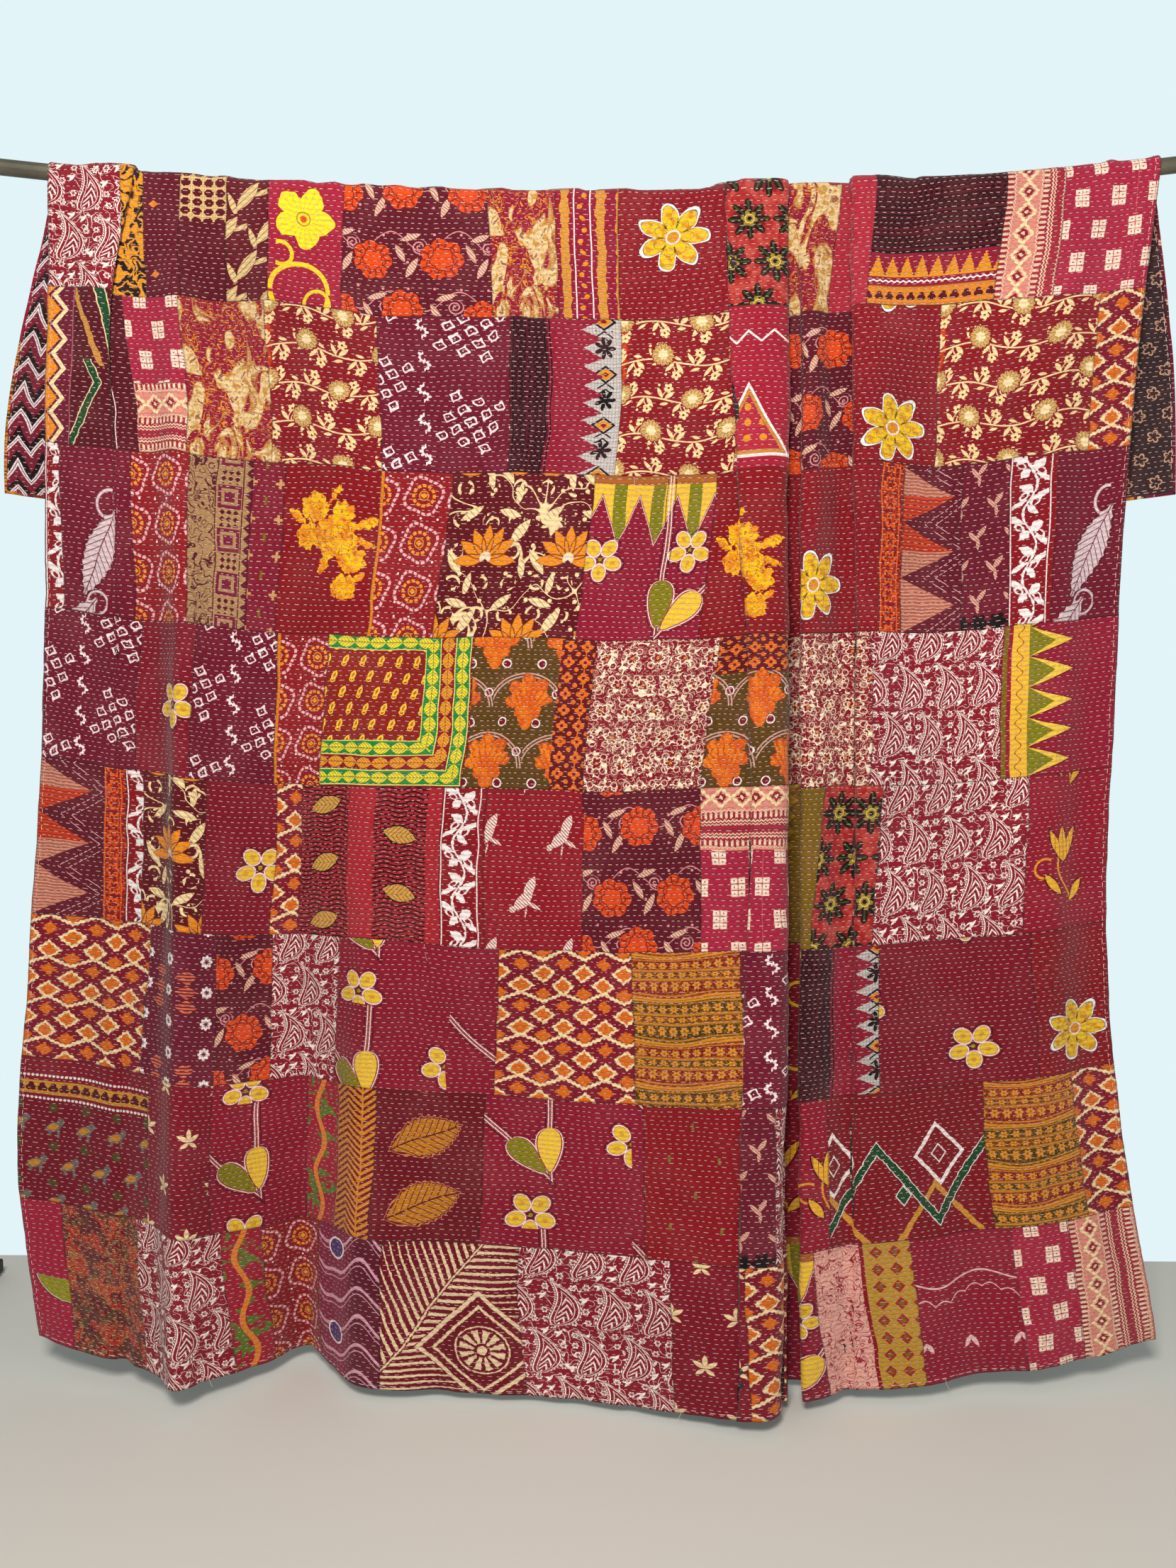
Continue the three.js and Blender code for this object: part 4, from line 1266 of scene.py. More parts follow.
def gold_bands(x, y):
    """Bands of small flowers in gold on brown, olive and brick."""
    w = y + sine(x * 0.25) * 0.3 + sine(y * 0.8) * 0.8
    odd = dice(cell(w, 2.6), 5.0)
    t = rep(w, 2.6)
    ground = paint(
        rgb(132, 78, 20), (soft(odd - 0.6, 50.0), rgb(146, 34, 32)), (soft(odd - 0.3, 50.0), rgb(96, 78, 18))
    )
    flower = petals(rep(x + odd * 5.0, 1.9), t, 6, 0.75, 0.45)
    rules = least(hoop(absolute(t) - 1.2, 0.08), hoop(absolute(t) - 0.95, 0.04))
    dense = soft(absolute(grain(x, y, 1.5, 1.0, 0.4) - 0.5) - 0.045, 24.0)
    return paint(
        ground,
        (dense * 0.6, rgb(206, 140, 50)),
        (soft(least(flower, rules)), rgb(224, 160, 60)),
        (soft(flower + 0.5), rgb(130, 26, 30)),
    )


def animals(x, y):
    """Small striding animals and flowers in turn, under a gold border of hearts between rows of beads."""
    k = cell(y, 7.2)
    a, b = rep(x + k * 2.9, 5.8), rep(y, 7.2)
    body = least(
        leaf(a, b, 1.9, 0.85, 25),
        least(box(a - 0.8, b + 1.0, 0.25, 0.9), box(a + 0.8, b + 0.8, 0.25, 0.9)),
    )
    body = least(body, disc(a - 1.3, b - 1.1, 0.62))
    saddle = soft(leaf(a + 0.2, b, 1.2, 0.6, 25))
    star = petals(rep(x, 5.8), rep(y + 3.6, 7.2), 6, 1.0, 0.45)
    band_y = y - 20.0
    gold = soft(band(band_y, 0.4, 3.0))
    hearts = soft(petals(rep(x, 1.9), band_y - 1.7, 3, 0.95, 0.4, 0.8))
    beads = least(disc(rep(x, 0.7), band_y + 0.4, 0.25), disc(rep(x, 0.7), band_y - 4.0, 0.25))
    lower = paint(
        rgb(142, 22, 54),
        (soft(body), rgb(134, 126, 118)),
        (both(soft(body), saddle), rgb(206, 150, 50)),
        (soft(star), rgb(112, 96, 52)),
    )
    upper = paint(
        rgb(150, 30, 56),
        (gold, rgb(214, 160, 60)),
        (both(gold, hearts), MAROON),
        (soft(beads), WHITE),
    )
    return paint(lower, (soft(19.2 - y), upper))


def chevron(x, y):
    v = rep(y + absolute(rep(x - 3.0, 6.0)) * 0.75, 1.25)
    rails = absolute(absolute(x - 3.0) - 2.95) - 0.15
    return paint(rgb(132, 28, 34), (soft(least(absolute(v) - 0.33, rails)), rgb(220, 152, 50)))


def big_leaf(x, y):
    a, b = rep(x - 8.5, 19.0), rep(y - 6.6, 12.4)
    p, q = turned(a, b, 24)
    tip = absolute(rep(p - absolute(q) * 0.9, 1.3))
    blade = leaf(p, q, 6.2, 3.5) + tip * 0.6 - 0.2
    veins = soft(least(absolute(q) - 0.13, tip - 0.09))
    tint = paint(
        rgb(214, 152, 50),
        (grain(x, y, 1.4, 2.0) * 0.6, rgb(176, 104, 34)),
        (veins, rgb(110, 30, 34)),
    )
    return paint(rgb(132, 20, 44), (soft(hoop(blade - 0.3, 0.08)), rgb(220, 150, 110)), (soft(blade), tint))


def dashes(x, y):
    d = box(rep(x + cell(y, 6.0) * 4, 8.0), rep(y, 6.0), 0.22, 0.6)
    return paint(rgb(160, 26, 44), (soft(d), rgb(150, 130, 70)))


def sprig(x, y, ground=rgb(152, 24, 56)):
    """Fans of cream leaves on a plain ground."""
    a, b = rep(x + cell(y, 9.0) * 5.0, 10.0), rep(y, 9.0)
    fan = least(
        leaf(a, b - 1.0, 1.1, 0.42, 90),
        least(leaf(a - 0.9, b - 0.3, 1.1, 0.4, 30), leaf(a + 0.9, b - 0.3, 1.1, 0.4, 150)),
    )
    fan = least(fan, least(leaf(a - 0.7, b + 0.9, 0.9, 0.34, -35), leaf(a + 0.7, b + 0.9, 0.9, 0.34, 215)))
    return paint(ground, (soft(fan), CREAM))


def leaf_sprig(x, y):
    a, b = rep(x + cell(y, 5.2) * 3.0, 6.0), rep(y, 5.2)
    leaves = either(
        soft(leaf(a - 0.5, b - 0.4, 1.3, 0.42, 50)),
        either(soft(leaf(a + 0.8, b + 0.2, 1.2, 0.4, 130)), soft(leaf(a, b + 1.5, 1.0, 0.3, 90))),
    )
    veins = soft(absolute(rep(b + a, 0.5)) - 0.06)
    scallop = soft(petals(rep(x, 3.2), y - 1.0, 6, 1.7, 0.4))
    return paint(
        rgb(134, 34, 62),
        (leaves, rgb(236, 190, 170)),
        (both(leaves, veins), PLUM),
        (both(scallop, soft(y - 3.0)), BLACK),
    )


def brush(x, y):
    rough = (grain(x, y, 0.8, 2.0) - 0.5) * 0.9
    v = absolute(rep(x, 19.0)) * 1.5
    green = y - 3.0 - v + rough
    gold = y + 6.5 + v * 0.9 - 16.0 + rough
    a, b = rep(x - 2.0, 19.0), y - 15.0
    white = lozenge(a + 1, b, 4.2, 5.6) + rough * 0.5
    small = lozenge(a + 7.6, y - 8.0, 1.2, 1.7)
    return paint(
        rgb(150, 28, 46),
        (soft(absolute(gold) - 0.75), rgb(214, 160, 70)),
        (soft(absolute(green) - 1.3), WHITE),
        (soft(absolute(green) - 1.05), GREEN),
        (soft(hoop(white, 0.38)), WHITE),
        (soft(hoop(lozenge(a + 1, b, 1.3, 1.8), 0.14)), WHITE),
        (soft(small - 0.2), WHITE),
        (soft(small), GREEN),
    )


def tulip(x, y):
    a, b = rep(x - 7.0, 15.0), rep(y - 15.0, 21.0)
    cup = least(
        leaf(a, b, 3.2, 0.9, 90),
        least(leaf(a + 1.5, b + 0.2, 3.2, 0.75, 116), leaf(a - 1.5, b + 0.2, 3.2, 0.75, 64)),
    )
    stem = most(absolute(a - sine(b * 0.45) * 1.2) - 0.2, b + 1.5)
    side = least(leaf(a + 2.2, b + 7.0, 2.3, 0.7, 125), leaf(a - 2.6, b + 8.6, 2.3, 0.7, 50))
    loops = most(hoop(disc(a + 3.6, b + 4.0, 1.7), 0.2), a + 2.6)
    return paint(
        rgb(166, 34, 64),
        (soft(least(stem, loops)), rgb(232, 170, 44)),
        (soft(hoop(least(cup, side) - 0.2, 0.08)), BLACK),
        (soft(least(cup, side)), rgb(240, 190, 60)),
        (both(soft(cup), soft(hoop(rep(a, 0.9), 0.06))), rgb(176, 84, 30)),
    )


def yellow_scroll(x, y):
    d = petals(x, y, 5, 5.3, 0.36, 0.4) + (grain(x, y, 0.5, 1.0) - 0.5) * 1.2
    lobes = most(hoop(rep(angle_of(x, y), 0.3), 0.03), 1.3 - length(x, y))
    one = most(absolute(length(x + 0.6, y + 13.0) - 5.0) - 0.4, y + 13.5)
    one = least(one, most(absolute(length(x + 0.6, y + 13.0) - 5.0) - 0.4, -(y + 13.0)))
    curl = most(absolute(length(x + 4.0, y + 6.6) - 1.9) - 0.34, -(x + 4.8))
    curl = least(curl, absolute(length(x - 2.4, y + 14.6) - 2.2) - 0.3)
    return paint(
        rgb(180, 48, 78),
        (soft(least(one, curl)), rgb(246, 216, 54)),
        (soft(d), rgb(248, 226, 60)),
        (both(soft(d + 0.3), soft(lobes)) * 0.45, rgb(206, 160, 40)),
        (soft(hoop(disc(x, y, 1.15), 0.12)), rgb(206, 150, 40)),
        (soft(disc(x, y, 0.6)), ORANGE),
    )


def scroll_back(x, y):
    ring = least(
        absolute(length(rep(x, 13.0), rep(y, 12.0)) - 3.6) - 0.32,
        absolute(length(rep(x + 5, 13.0), rep(y + 6, 12.0)) - 2.2) - 0.26,
    )
    return paint(rgb(160, 36, 62), (soft(most(ring, sine(x * 0.5 + y * 0.4) - 0.3)), YELLOW))


def net(x, y):
    grid = either(soft(absolute(rep(x, 1.9)) - 0.16), soft(absolute(rep(y, 1.6)) - 0.16))
    knots = soft(hoop(disc(rep(x, 1.9), rep(y, 1.6), 0.45), 0.12))
    return paint(rgb(116, 20, 46), (both(either(grid, knots), soft(13.5 - y)), rgb(226, 196, 140)))


def cream_leaves(x, y, ground=rgb(120, 22, 44)):
    k = cell(y, 6.0)
    a, b = rep(x + k * 3.4, 6.8), rep(y, 6.0)
    big = either(
        soft(leaf(a, b, 3.1, 1.0, 55)),
        either(soft(leaf(a + 2.4, b + 1.5, 2.2, 0.5, 110)), soft(leaf(a - 2.6, b - 0.7, 2.0, 0.45, 20))),
    )
    gap = soft(absolute(rep(a - b, 1.1)) - 0.08)
    return paint(ground, (big, rgb(226, 202, 150)), (both(big, gap) * 0.8, ground))


def diamond_dot(x, y):
    return paint(
        rgb(122, 24, 52),
        (soft(lozenge(rep(x - 2, 9.0), rep(y - 4, 12.0), 0.9, 0.65)), rgb(230, 150, 50)),
    )


def gold_leaf(x, y):
    shape = soft(absolute(grain(x, y, 0.5, 1.0, 0.8) - 0.5) - 0.09, 16.0)
    return paint(rgb(60, 30, 30), (shape, rgb(232, 168, 50)))


def lattice(x, y):
    """Cream-edged diamonds and plain orange dots in turn, with a zigzag line between their rows."""
    u = x + (grain(x * 0.3, y * 3, 1.0, 1.0) - 0.5) * 0.9
    v = y + sine(x * 8.0) * 0.1
    a, c = rep(u, 7.4), rep(u + 3.7, 7.4)
    framed = least(lozenge(a, rep(v, 7.8), 2.2, 1.8), lozenge(c, rep(v + 2.3, 7.8), 2.2, 1.8))
    dots = least(lozenge(a, rep(v + 3.8, 7.8), 1.5, 1.25), lozenge(c, rep(v + 6.1, 7.8), 1.5, 1.25))
    rows = absolute(rep(v + 5.3 - zigzag(u, 3.7) * 0.45, 7.8)) - 0.3
    core = paint(rgb(230, 136, 26), (grain(x, y, 1.6, 1.0) * 0.5, rgb(196, 96, 20)))
    return paint(
        rgb(150, 30, 58),
        (soft(rows, 7.0), CREAM),
        (soft(dots, 5.0), core),
        (soft(framed, 7.0), CREAM),
        (soft(framed + 0.55, 6.0), core),
    )


def arrows(x, y):
    arrow = soft(hoop(absolute(rep(x, 4.2)) * 0.9 + rep(y, 7.6) - 0.4, 0.22))
    arrow = both(arrow, both(soft(absolute(rep(y, 7.6)) - 1.6), soft(17.0 - y)))
    t = tooth(x - 1.5, y - 2.5, 13.0, 12.0)
    inside = most(t, 2.0 - y)
    dots = soft(disc(rep(x, 2.6), rep(y, 2.6), 0.6))
    return paint(
        rgb(178, 44, 72),
        (arrow, WHITE),
        (soft(inside), WHITE),
        (soft(inside + 0.5), rgb(206, 150, 80)),
        (soft(inside + 1.2), rgb(190, 60, 80)),
        (both(soft(inside + 1.3), dots), GOLD),
    )


def batik(x, y):
    """A rayed disc in two square frames, and feather strokes fanned beside it."""
    a, b = turned(x - 15.5, y - 8.5, 45)
    m = most(absolute(a), absolute(b))
    r = length(a, b)
    rays = most(most(r - 3.6, 1.3 - r), hoop(rep(angle_of(a, b), 0.5236), 0.15) * r * 0.8)
    emblem = least(least(rays, disc(a, b, 0.8)), hoop(r - 4.2, 0.13))
    frames = least(absolute(m - 7.2) - 0.34, absolute(m - 5.5) - 0.24)
    p, q = turned(x - 3.5, y - 9.0, -34)
    strokes = most(
        absolute(rep(q - absolute(p) * 0.75, 1.55)) - 0.36 + absolute(p) * 0.02,
        0.35 - absolute(p),
    )
    feathers = most(least(strokes, absolute(p) - 0.15), 7.7 - m)
    rough = (grain(x, y, 1.8, 1.0) - 0.5) * 0.35
    return paint(rgb(136, 24, 48), (soft(least(least(emblem, frames), feathers) + rough), rgb(240, 214, 180)))


def waves_red(x, y):
    """Two wavy white lines, one of them scalloped, on raspberry."""
    w = y - 19.0 + sine(x * 0.42) * 1.2
    lines = least(absolute(w) - 0.16, absolute(w + 3.4 - absolute(sine(x * 1.1)) * 0.9) - 0.12)
    marks = least(
        leaf(rep(x, 8.0), rep(y + 2.0, 9.0), 1.3, 0.4, 60),
        leaf(rep(x - 1.2, 8.0), rep(y + 2.0, 9.0), 1.3, 0.4, 120),
    )
    return paint(RASPBERRY, (soft(least(lines, most(marks, y - 13.0))), rgb(240, 200, 196)))


def waves(x, y):
    w = y + sine(x * 0.42) * 2.2 + sine(x * 0.9 + 1.0) * 0.7
    lines = soft(absolute(rep(w, 5.2)) - 0.34)
    thin = soft(absolute(rep(w + 1.2, 5.2)) - 0.1)
    drop = petals(rep(x - 5.0, 15.0), rep(y - 8.0, 16.0), 1, 2.0, 0.35, 0.8)
    ground = paint(rgb(156, 30, 84), (soft(absolute(x - 16) - 7, 0.3), rgb(120, 30, 60)))
    return paint(
        ground,
        (either(lines, thin), rgb(226, 178, 190)),
        (soft(drop - 0.35), WHITE),
        (soft(drop), PURPLE),
    )


def faded(x, y):
    n = grain(x, y, 0.35, 2.0, 0.8)
    squiggle = soft(absolute(grain(x + 3, y, 1.1, 1.0, 1.5) - 0.5) - 0.05, 20.0)
    return paint(
        rgb(130, 34, 56),
        (soft(0.52 - n, 9.0), rgb(190, 54, 50)),
        (squiggle * 0.8, rgb(178, 158, 104)),
        (both(soft(n - 0.42, 10.0), squiggle), rgb(110, 96, 50)),
    )


def green_circle(x, y):
    d = disc(x, y, 4.6)
    half = soft(y + 0.3)
    return paint(
        rgb(184, 46, 82),
        (both(soft(d - 0.3), half), BLACK),
        (both(soft(d - 0.12), half), WHITE),
        (both(soft(d), half), LIME),
    )


def scraps(x, y):
    n = grain(x, y, 0.4, 1.0, 0.6)
    return paint(
        rgb(178, 44, 70),
        (soft(n - 0.4, 14.0), rgb(120, 140, 60)),
        (soft(absolute(x - 3.0 - sine(y * 0.5)) - 0.5), rgb(230, 150, 60)),
    )


def cream_scroll(x, y):
    scroll = soft(absolute(grain(x, y, 0.55, 0.0, 1.6) - 0.5) - 0.05, 22.0)
    pale = paint(rgb(236, 184, 170), (scroll, rgb(176, 60, 80)))
    gold = paint(
        rgb(200, 160, 70),
        (soft(lozenge(rep(x, 2.8), rep(y, 3.2), 1.0, 1.2)), rgb(176, 60, 60)),
        (soft(lozenge(rep(x, 2.8), rep(y, 3.2), 0.5, 0.6)), OLIVE),
    )
    return paint(pale, (soft(9.0 - x), gold), (soft(absolute(x - 9.0) - 0.3), CRIMSON))


def olive_chevron(x, y):
    chev = soft(hoop(rep(y + absolute(rep(x, 3.2)) * 0.9, 2.6), 0.3))
    return paint(
        rgb(146, 116, 30),
        (both(soft(x - 3.2), chev), BLACK),
        (soft(absolute(x - 3.4) - 0.14), BLACK),
        (soft(tooth(y, x - 4.0, 2.6, 1.8)), rgb(186, 150, 50)),
    )


# ------------------------------------------------------------------ which print lies where
# One list per row of patches, from the front hem over the bar to the back hem. Each patch is where
# it starts across the cloth in centimetres, its print, and where the print's own centre lies.
PATCHES = [
    [  # front hem
        (0, green_circle, 6, 13), (7.3, faded), (20.8, paisley), (39.5, scraps), (46.6, rings),
        (57.6, waves), (72.6, batik), (94.2, paisley), (117.4, sprig), (134, lattice), (152.3, teeth),
        (173.6, cream_scroll), (190, waves_red), (206.7, sixdot), (216.8, ikat_band),
    ],
    [
        (0, animals), (23.2, sprig), (37.4, garden, 7, 10), (54.7, scraps), (61.9, chevron),
        (69.6, big_leaf), (87.9, garden, 9, 17), (113.8, dashes), (130.1, leaf_sprig), (138.8, paisley),
        (154.5, tulip), (176.7, brush), (204.7, gold_bands), (220.4, lattice),
    ],
    [
        (0, lattice), (21.5, star_rings), (37.6, blooms), (47.9, paisley), (60.6, garden, 6, 2),
        (88.6, lattice), (112.3, gold_bands), (130.8, bandhani), (154.9, scroll_back), (170.9, tribal_b),
        (187.1, petal, 16, 7), (213.7, daisy, 8, 8),
    ],
    [
        (0, striped_tri), (12.1, floral_stripe), (16.7, white_vine), (19.5, jacobean),
        (34, petal, 10, 12), (46.8, lattice), (52.3, net_black), (79, white_vine), (86.1, birds),
        (103.3, blooms), (124.2, sixdot_band), (154.2, olive_chevron), (172.6, starflower),
        (185.9, paisley), (212.6, tulip),
    ],
    [
        (0, bandhani), (18.4, petal, 9, 13), (30.9, bandhani), (46.1, rings_bar), (55.6, brick_paisley),
        (81.6, olive_side), (103.5, scribble), (124.2, olive), (152.6, scribble), (183.8, paisley),
        (207.8, side_teeth),
    ],
    [
        (0, white_vine), (3.2, feather, 7, 13), (17.1, rings), (28.9, tan_scroll), (39.8, crosses),
        (45.8, rose, 9, 17), (62.3, rings_bar), (74, jacobean), (99.5, teeth), (120.7, rose, 9, 14),
        (150.2, daisy, 17, 8), (184.8, floral_stripe), (189.3, striped_tri), (200, leaf_sprig),
        (208.3, white_vine), (216, feather, 7, 14),
    ],
    [
        (0, zigtri), (5.3, strokes), (18.5, band_sixdot), (28.7, tiedye), (43.3, vine), (62.5, bandhani),
        (83.7, tribal_b), (102.9, vine), (123.1, arrows), (147.8, blooms), (178.5, daisy, 8, 6),
        (195.2, vine), (221.2, lattice),
    ],
    [  # over the bar
        (0, paisley), (12.6, gold_leaf), (22.8, diamond_dot), (29.1, net), (36.9, cream_leaves),
        (44, yellow_scroll, 6, 15), (56.6, blooms), (80.4, tiedye), (93, gold_stripe),
        (102.8, daisy, 9, 14), (124.8, starflower), (146.2, tiedye), (168.3, coral), (181.9, tribal_a),
        (203.5, ikat_band), (212.7, sixdot),
    ],
    [
        (0, side_teeth), (16, rose, 9, 13), (37, bandhani), (58, white_vine), (65, batik), (90, paisley),
        (112, ikat_rows), (126, garden, 8, 14), (150, vine), (172, gold_bands), (188, crosses),
        (199, olive), (218, leaf_sprig),
    ],
    [  # back hem
        (0, gold_bands), (18, petal, 9, 12), (40, lattice), (61, brick_paisley), (86, sprig),
        (101, waves), (120, scribble), (143, rings), (160, jacobean), (182, tulip), (196, net_black),
        (220, zigtri),
    ],
]
DESIGNS = list(dict.fromkeys(patch[1] for row in PATCHES for patch in row))


# ------------------------------------------------------------------ the cloth's own materials
def uv_map(name):
    n = make("ShaderNodeUVMap", uv_map=name)
    xyz = make("ShaderNodeSeparateXYZ")
    TREE.links.new(n.outputs[0], xyz.inputs[0])
    return Num(xyz.outputs[0]), Num(xyz.outputs[1])


def dyed(colour, power):
    """The colour dyed deeper as the power grows, the whites left white."""
    n = make("ShaderNodeGamma")
    feed(n.inputs["Color"], colour)
    n.inputs["Gamma"].default_value = power
    return Num(n.outputs[0])


def kantha_group():
    """Running stitch, the ribs between its rows, patch seams and fading, from the cloth's own UV maps; the
    Shade output holds painted shade in the stitch lines and seam grooves, with the cloth's real fading and
    slub.
    """
    global TREE
    TREE = bpy.data.node_groups.new("kantha", "ShaderNodeTree")
    for name, kind in (("Stitch", "Float"), ("Shade", "Float"), ("Wear", "Float"), ("Normal", "Vector")):
        TREE.interface.new_socket(name, in_out="OUTPUT", socket_type="NodeSocket" + kind)
    x, y = uv_map("cloth")
    sway = (grain(x, y, 0.06, 1.0) - 0.5) * 1.1 + (grain(x, y, 0.5, 0.0) - 0.5) * 0.12
    row = (y + sway) * (1 / STITCH_ROW)
    k = floor(row)
    across = fract(row) - 0.5
    start = dice(k, 3.0) * STITCH_PERIOD
    beat = (x + start + (grain(x, k * 9.0, 0.3, 0.0) - 0.5) * 1.6) * (1 / STITCH_PERIOD)
    along = absolute(fract(beat) - 0.5) * STITCH_PERIOD
    dash = math_node("MULTIPLY_ADD", along, -18.0, 18.0 * STITCH_HALF + 0.5, clamp=True)
    off = absolute(across) * STITCH_ROW
    stitch = both(dash, math_node("MULTIPLY_ADD", off, -26.0, 26.0 * THREAD_HALF + 0.5, clamp=True))
    t = absolute(across) * 2.0
    rib = (2.0 - t) * t
    rib = rib + (1.0 - rib) * (1.0 - dash) * 0.4
    pucker = grain(x, y, 0.55, 2.0, 0.4)
    crinkle = grain(x * 1.6, y * 0.5, 1.1, 2.0)
    du, dv = uv_map("seam")
    d = least(du, dv)
    groove = soft(d - 0.1, 8.0)
    allowance = soft(d - 0.7, 5.0)
    height = rib * (pucker * 1.6 + 0.35) + crinkle * 1.7 + allowance * 0.4 - groove * 1.0
    height = height + stitch * 0.25 + grain(x, y, 22.0, 0.0) * 0.05
    bump = make("ShaderNodeBump")
    bump.inputs["Strength"].default_value = 1.0
    bump.inputs["Distance"].default_value = 0.001
    feed(bump.inputs["Height"], height)
    fade = grain(x, y, 0.035, 2.0)
    slub = grain(x * 0.7, y * 2.4, 2.4, 2.0)
    # painted shade: darker along the recessed stitch lines between the ribs and in the seam grooves; fade and
    # slub are the cloth's own fading and yarn
    shade = (rib * 0.34 + 0.7) * (fade * 0.34 + 0.82) * (slub * 0.7 + 0.62) * (1.0 - groove * 0.45)
    wear = (grain(x, y, 0.11, 3.0) - 0.45) * 1.0 * rib
    out = make("NodeGroupOutput")
    feed(out.inputs["Stitch"], stitch)
    feed(out.inputs["Shade"], shade)
    feed(out.inputs["Wear"], math_node("ADD", wear, 0.0, clamp=True))
    TREE.links.new(bump.outputs[0], out.inputs["Normal"])
    return TREE


def cloth_material(name, colour_of, thread, dye_power, sheen=0.12):
    global TREE
    mat = bpy.data.materials.new(name)
    mat.use_nodes = True
    TREE = mat.node_tree
    shader = TREE.nodes["Principled BSDF"]
    group = make("ShaderNodeGroup")
    group.node_tree = KANTHA
    colour = dyed(colour_of(), dye_power)
    stitch, shade, wear = (Num(group.outputs[k]) for k in ("Stitch", "Shade", "Wear"))
    colour = paint(colour, (wear * 0.2, rgb(214, 140, 140)))
    # the Shade output scales the colour: painted shade in stitch lines and seam grooves, with real fading
    n = make("ShaderNodeVectorMath", operation="SCALE")
    feed(n.inputs[0], colour)
    feed(n.inputs["Scale"], shade)
    colour = paint(Num(n.outputs[0]), (stitch * 0.75, thread))
    feed(shader.inputs["Base Color"], colour)
    TREE.links.new(group.outputs["Normal"], shader.inputs["Normal"])
    shader.inputs["Roughness"].default_value = 0.88
    shader.inputs["Specular IOR Level"].default_value = 0.18
    shader.inputs["Sheen Weight"].default_value = sheen
    shader.inputs["Sheen Roughness"].default_value = 0.55
    return mat


def patch_colour(design):
    def colour():
        x, y = uv_map("patch")
        return design(x, y)

    return colour


def backing_colour():
    """Wavy black, maroon and cream zigzags near the left edge, small cream marks on a dark brown ground
    elsewhere; that ground is the backing's own dark ground with painted shade, as it shows in shade on the
    right flap.
    """
    x, y = uv_map("cloth")
    w = rep(y + zigzag(x, 2.2) * 1.5 + sine(y * 0.9) * 0.3, 4.6)
    edge = soft(absolute(w) - 0.55)
    dark = soft(absolute(w + 1.3) - 0.75)
    left = paint(
        rgb(132, 34, 58),
        (dark, BLACK),
        (edge, rgb(236, 222, 222)),
        (soft(absolute(w) - 0.12), PLUM),
    )
    a, b = rep(x + cell(y, 4.0) * 2.5, 5.0), rep(y, 4.0)
    mark = petals(a, b, 5, 1.1, 0.5)
    # partly painted shade: this dark brown is the backing as seen in shade, the cloth's dark ground darkened
    # further
    brown_with_painted_shade = paint(
        rgb(66, 46, 48),
        (soft(hoop(mark, 0.14)), rgb(206, 160, 130)),
        (soft(absolute(rep(x, 20.0)) - 0.3), rgb(110, 40, 44)),
    )
    return paint(brown_with_painted_shade, (soft(x - 62.0, 50.0), left))


STITCH_ROW = 0.88
STITCH_PERIOD = 1.22
STITCH_HALF = 0.26
THREAD_HALF = 0.052
THREAD = rgb(236, 196, 190)
BACKING_THREAD = rgb(226, 190, 180)
PRINT_DYE, BACKING_DYE = 1.16, 1.0  # the power that each cloth's colours are raised to
KANTHA = kantha_group()
CLOTHS = [cloth_material("print_" + d.__name__, patch_colour(d), THREAD, PRINT_DYE) for d in DESIGNS]
BACKING_CLOTH = cloth_material("backing_print", backing_colour, BACKING_THREAD, BACKING_DYE)


# ------------------------------------------------------------------ the two cloths
def rim(points, normal, steps, radius, inward):
    """The grid with its edges carried round to the other side of the cloth."""
    du = np.gradient(points, axis=0)
    dv = np.gradient(points, axis=1)
    du /= np.linalg.norm(du, axis=-1, keepdims=True)
    dv /= np.linalg.norm(dv, axis=-1, keepdims=True)
    nu, nv = points.shape[:2]
    i, j = np.meshgrid(np.arange(-steps, nu + steps), np.arange(-steps, nv + steps), indexing="ij")
    ci, cj = np.clip(i, 0, nu - 1), np.clip(j, 0, nv - 1)
    over_u, over_v = i - ci, j - cj
    count = np.maximum(np.abs(over_u), np.abs(over_v))
    angle = np.minimum(count / (steps - 1), 1) * math.pi
    out = du[ci, cj] * over_u[..., None] + dv[ci, cj] * over_v[..., None]
    out /= np.maximum(np.linalg.norm(out, axis=-1, keepdims=True), 1e-9)
    back = np.where(count == steps, inward, 0)
    return (
        points[ci, cj]
        + normal[ci, cj] * (radius * np.cos(angle))[..., None]
        + out * (radius * np.sin(angle) - back)[..., None]
    ), ci, cj, over_u, over_v


RIM = 4  # steps that carry the edge of the top round to the back
BACKING_DEPTH = 0.92  # the backing lies just inside the top's turned edge
top_points, ci, cj, over_u, over_v = rim(MIDDLE, N, RIM, LAYER / 2, 0.004)
top, quads = grid_mesh("patchwork_top", top_points)
flat_u = (us[ci] + over_u * 0.0008) * 100
flat_v = (vs[cj] + over_v * 0.0008) * 100

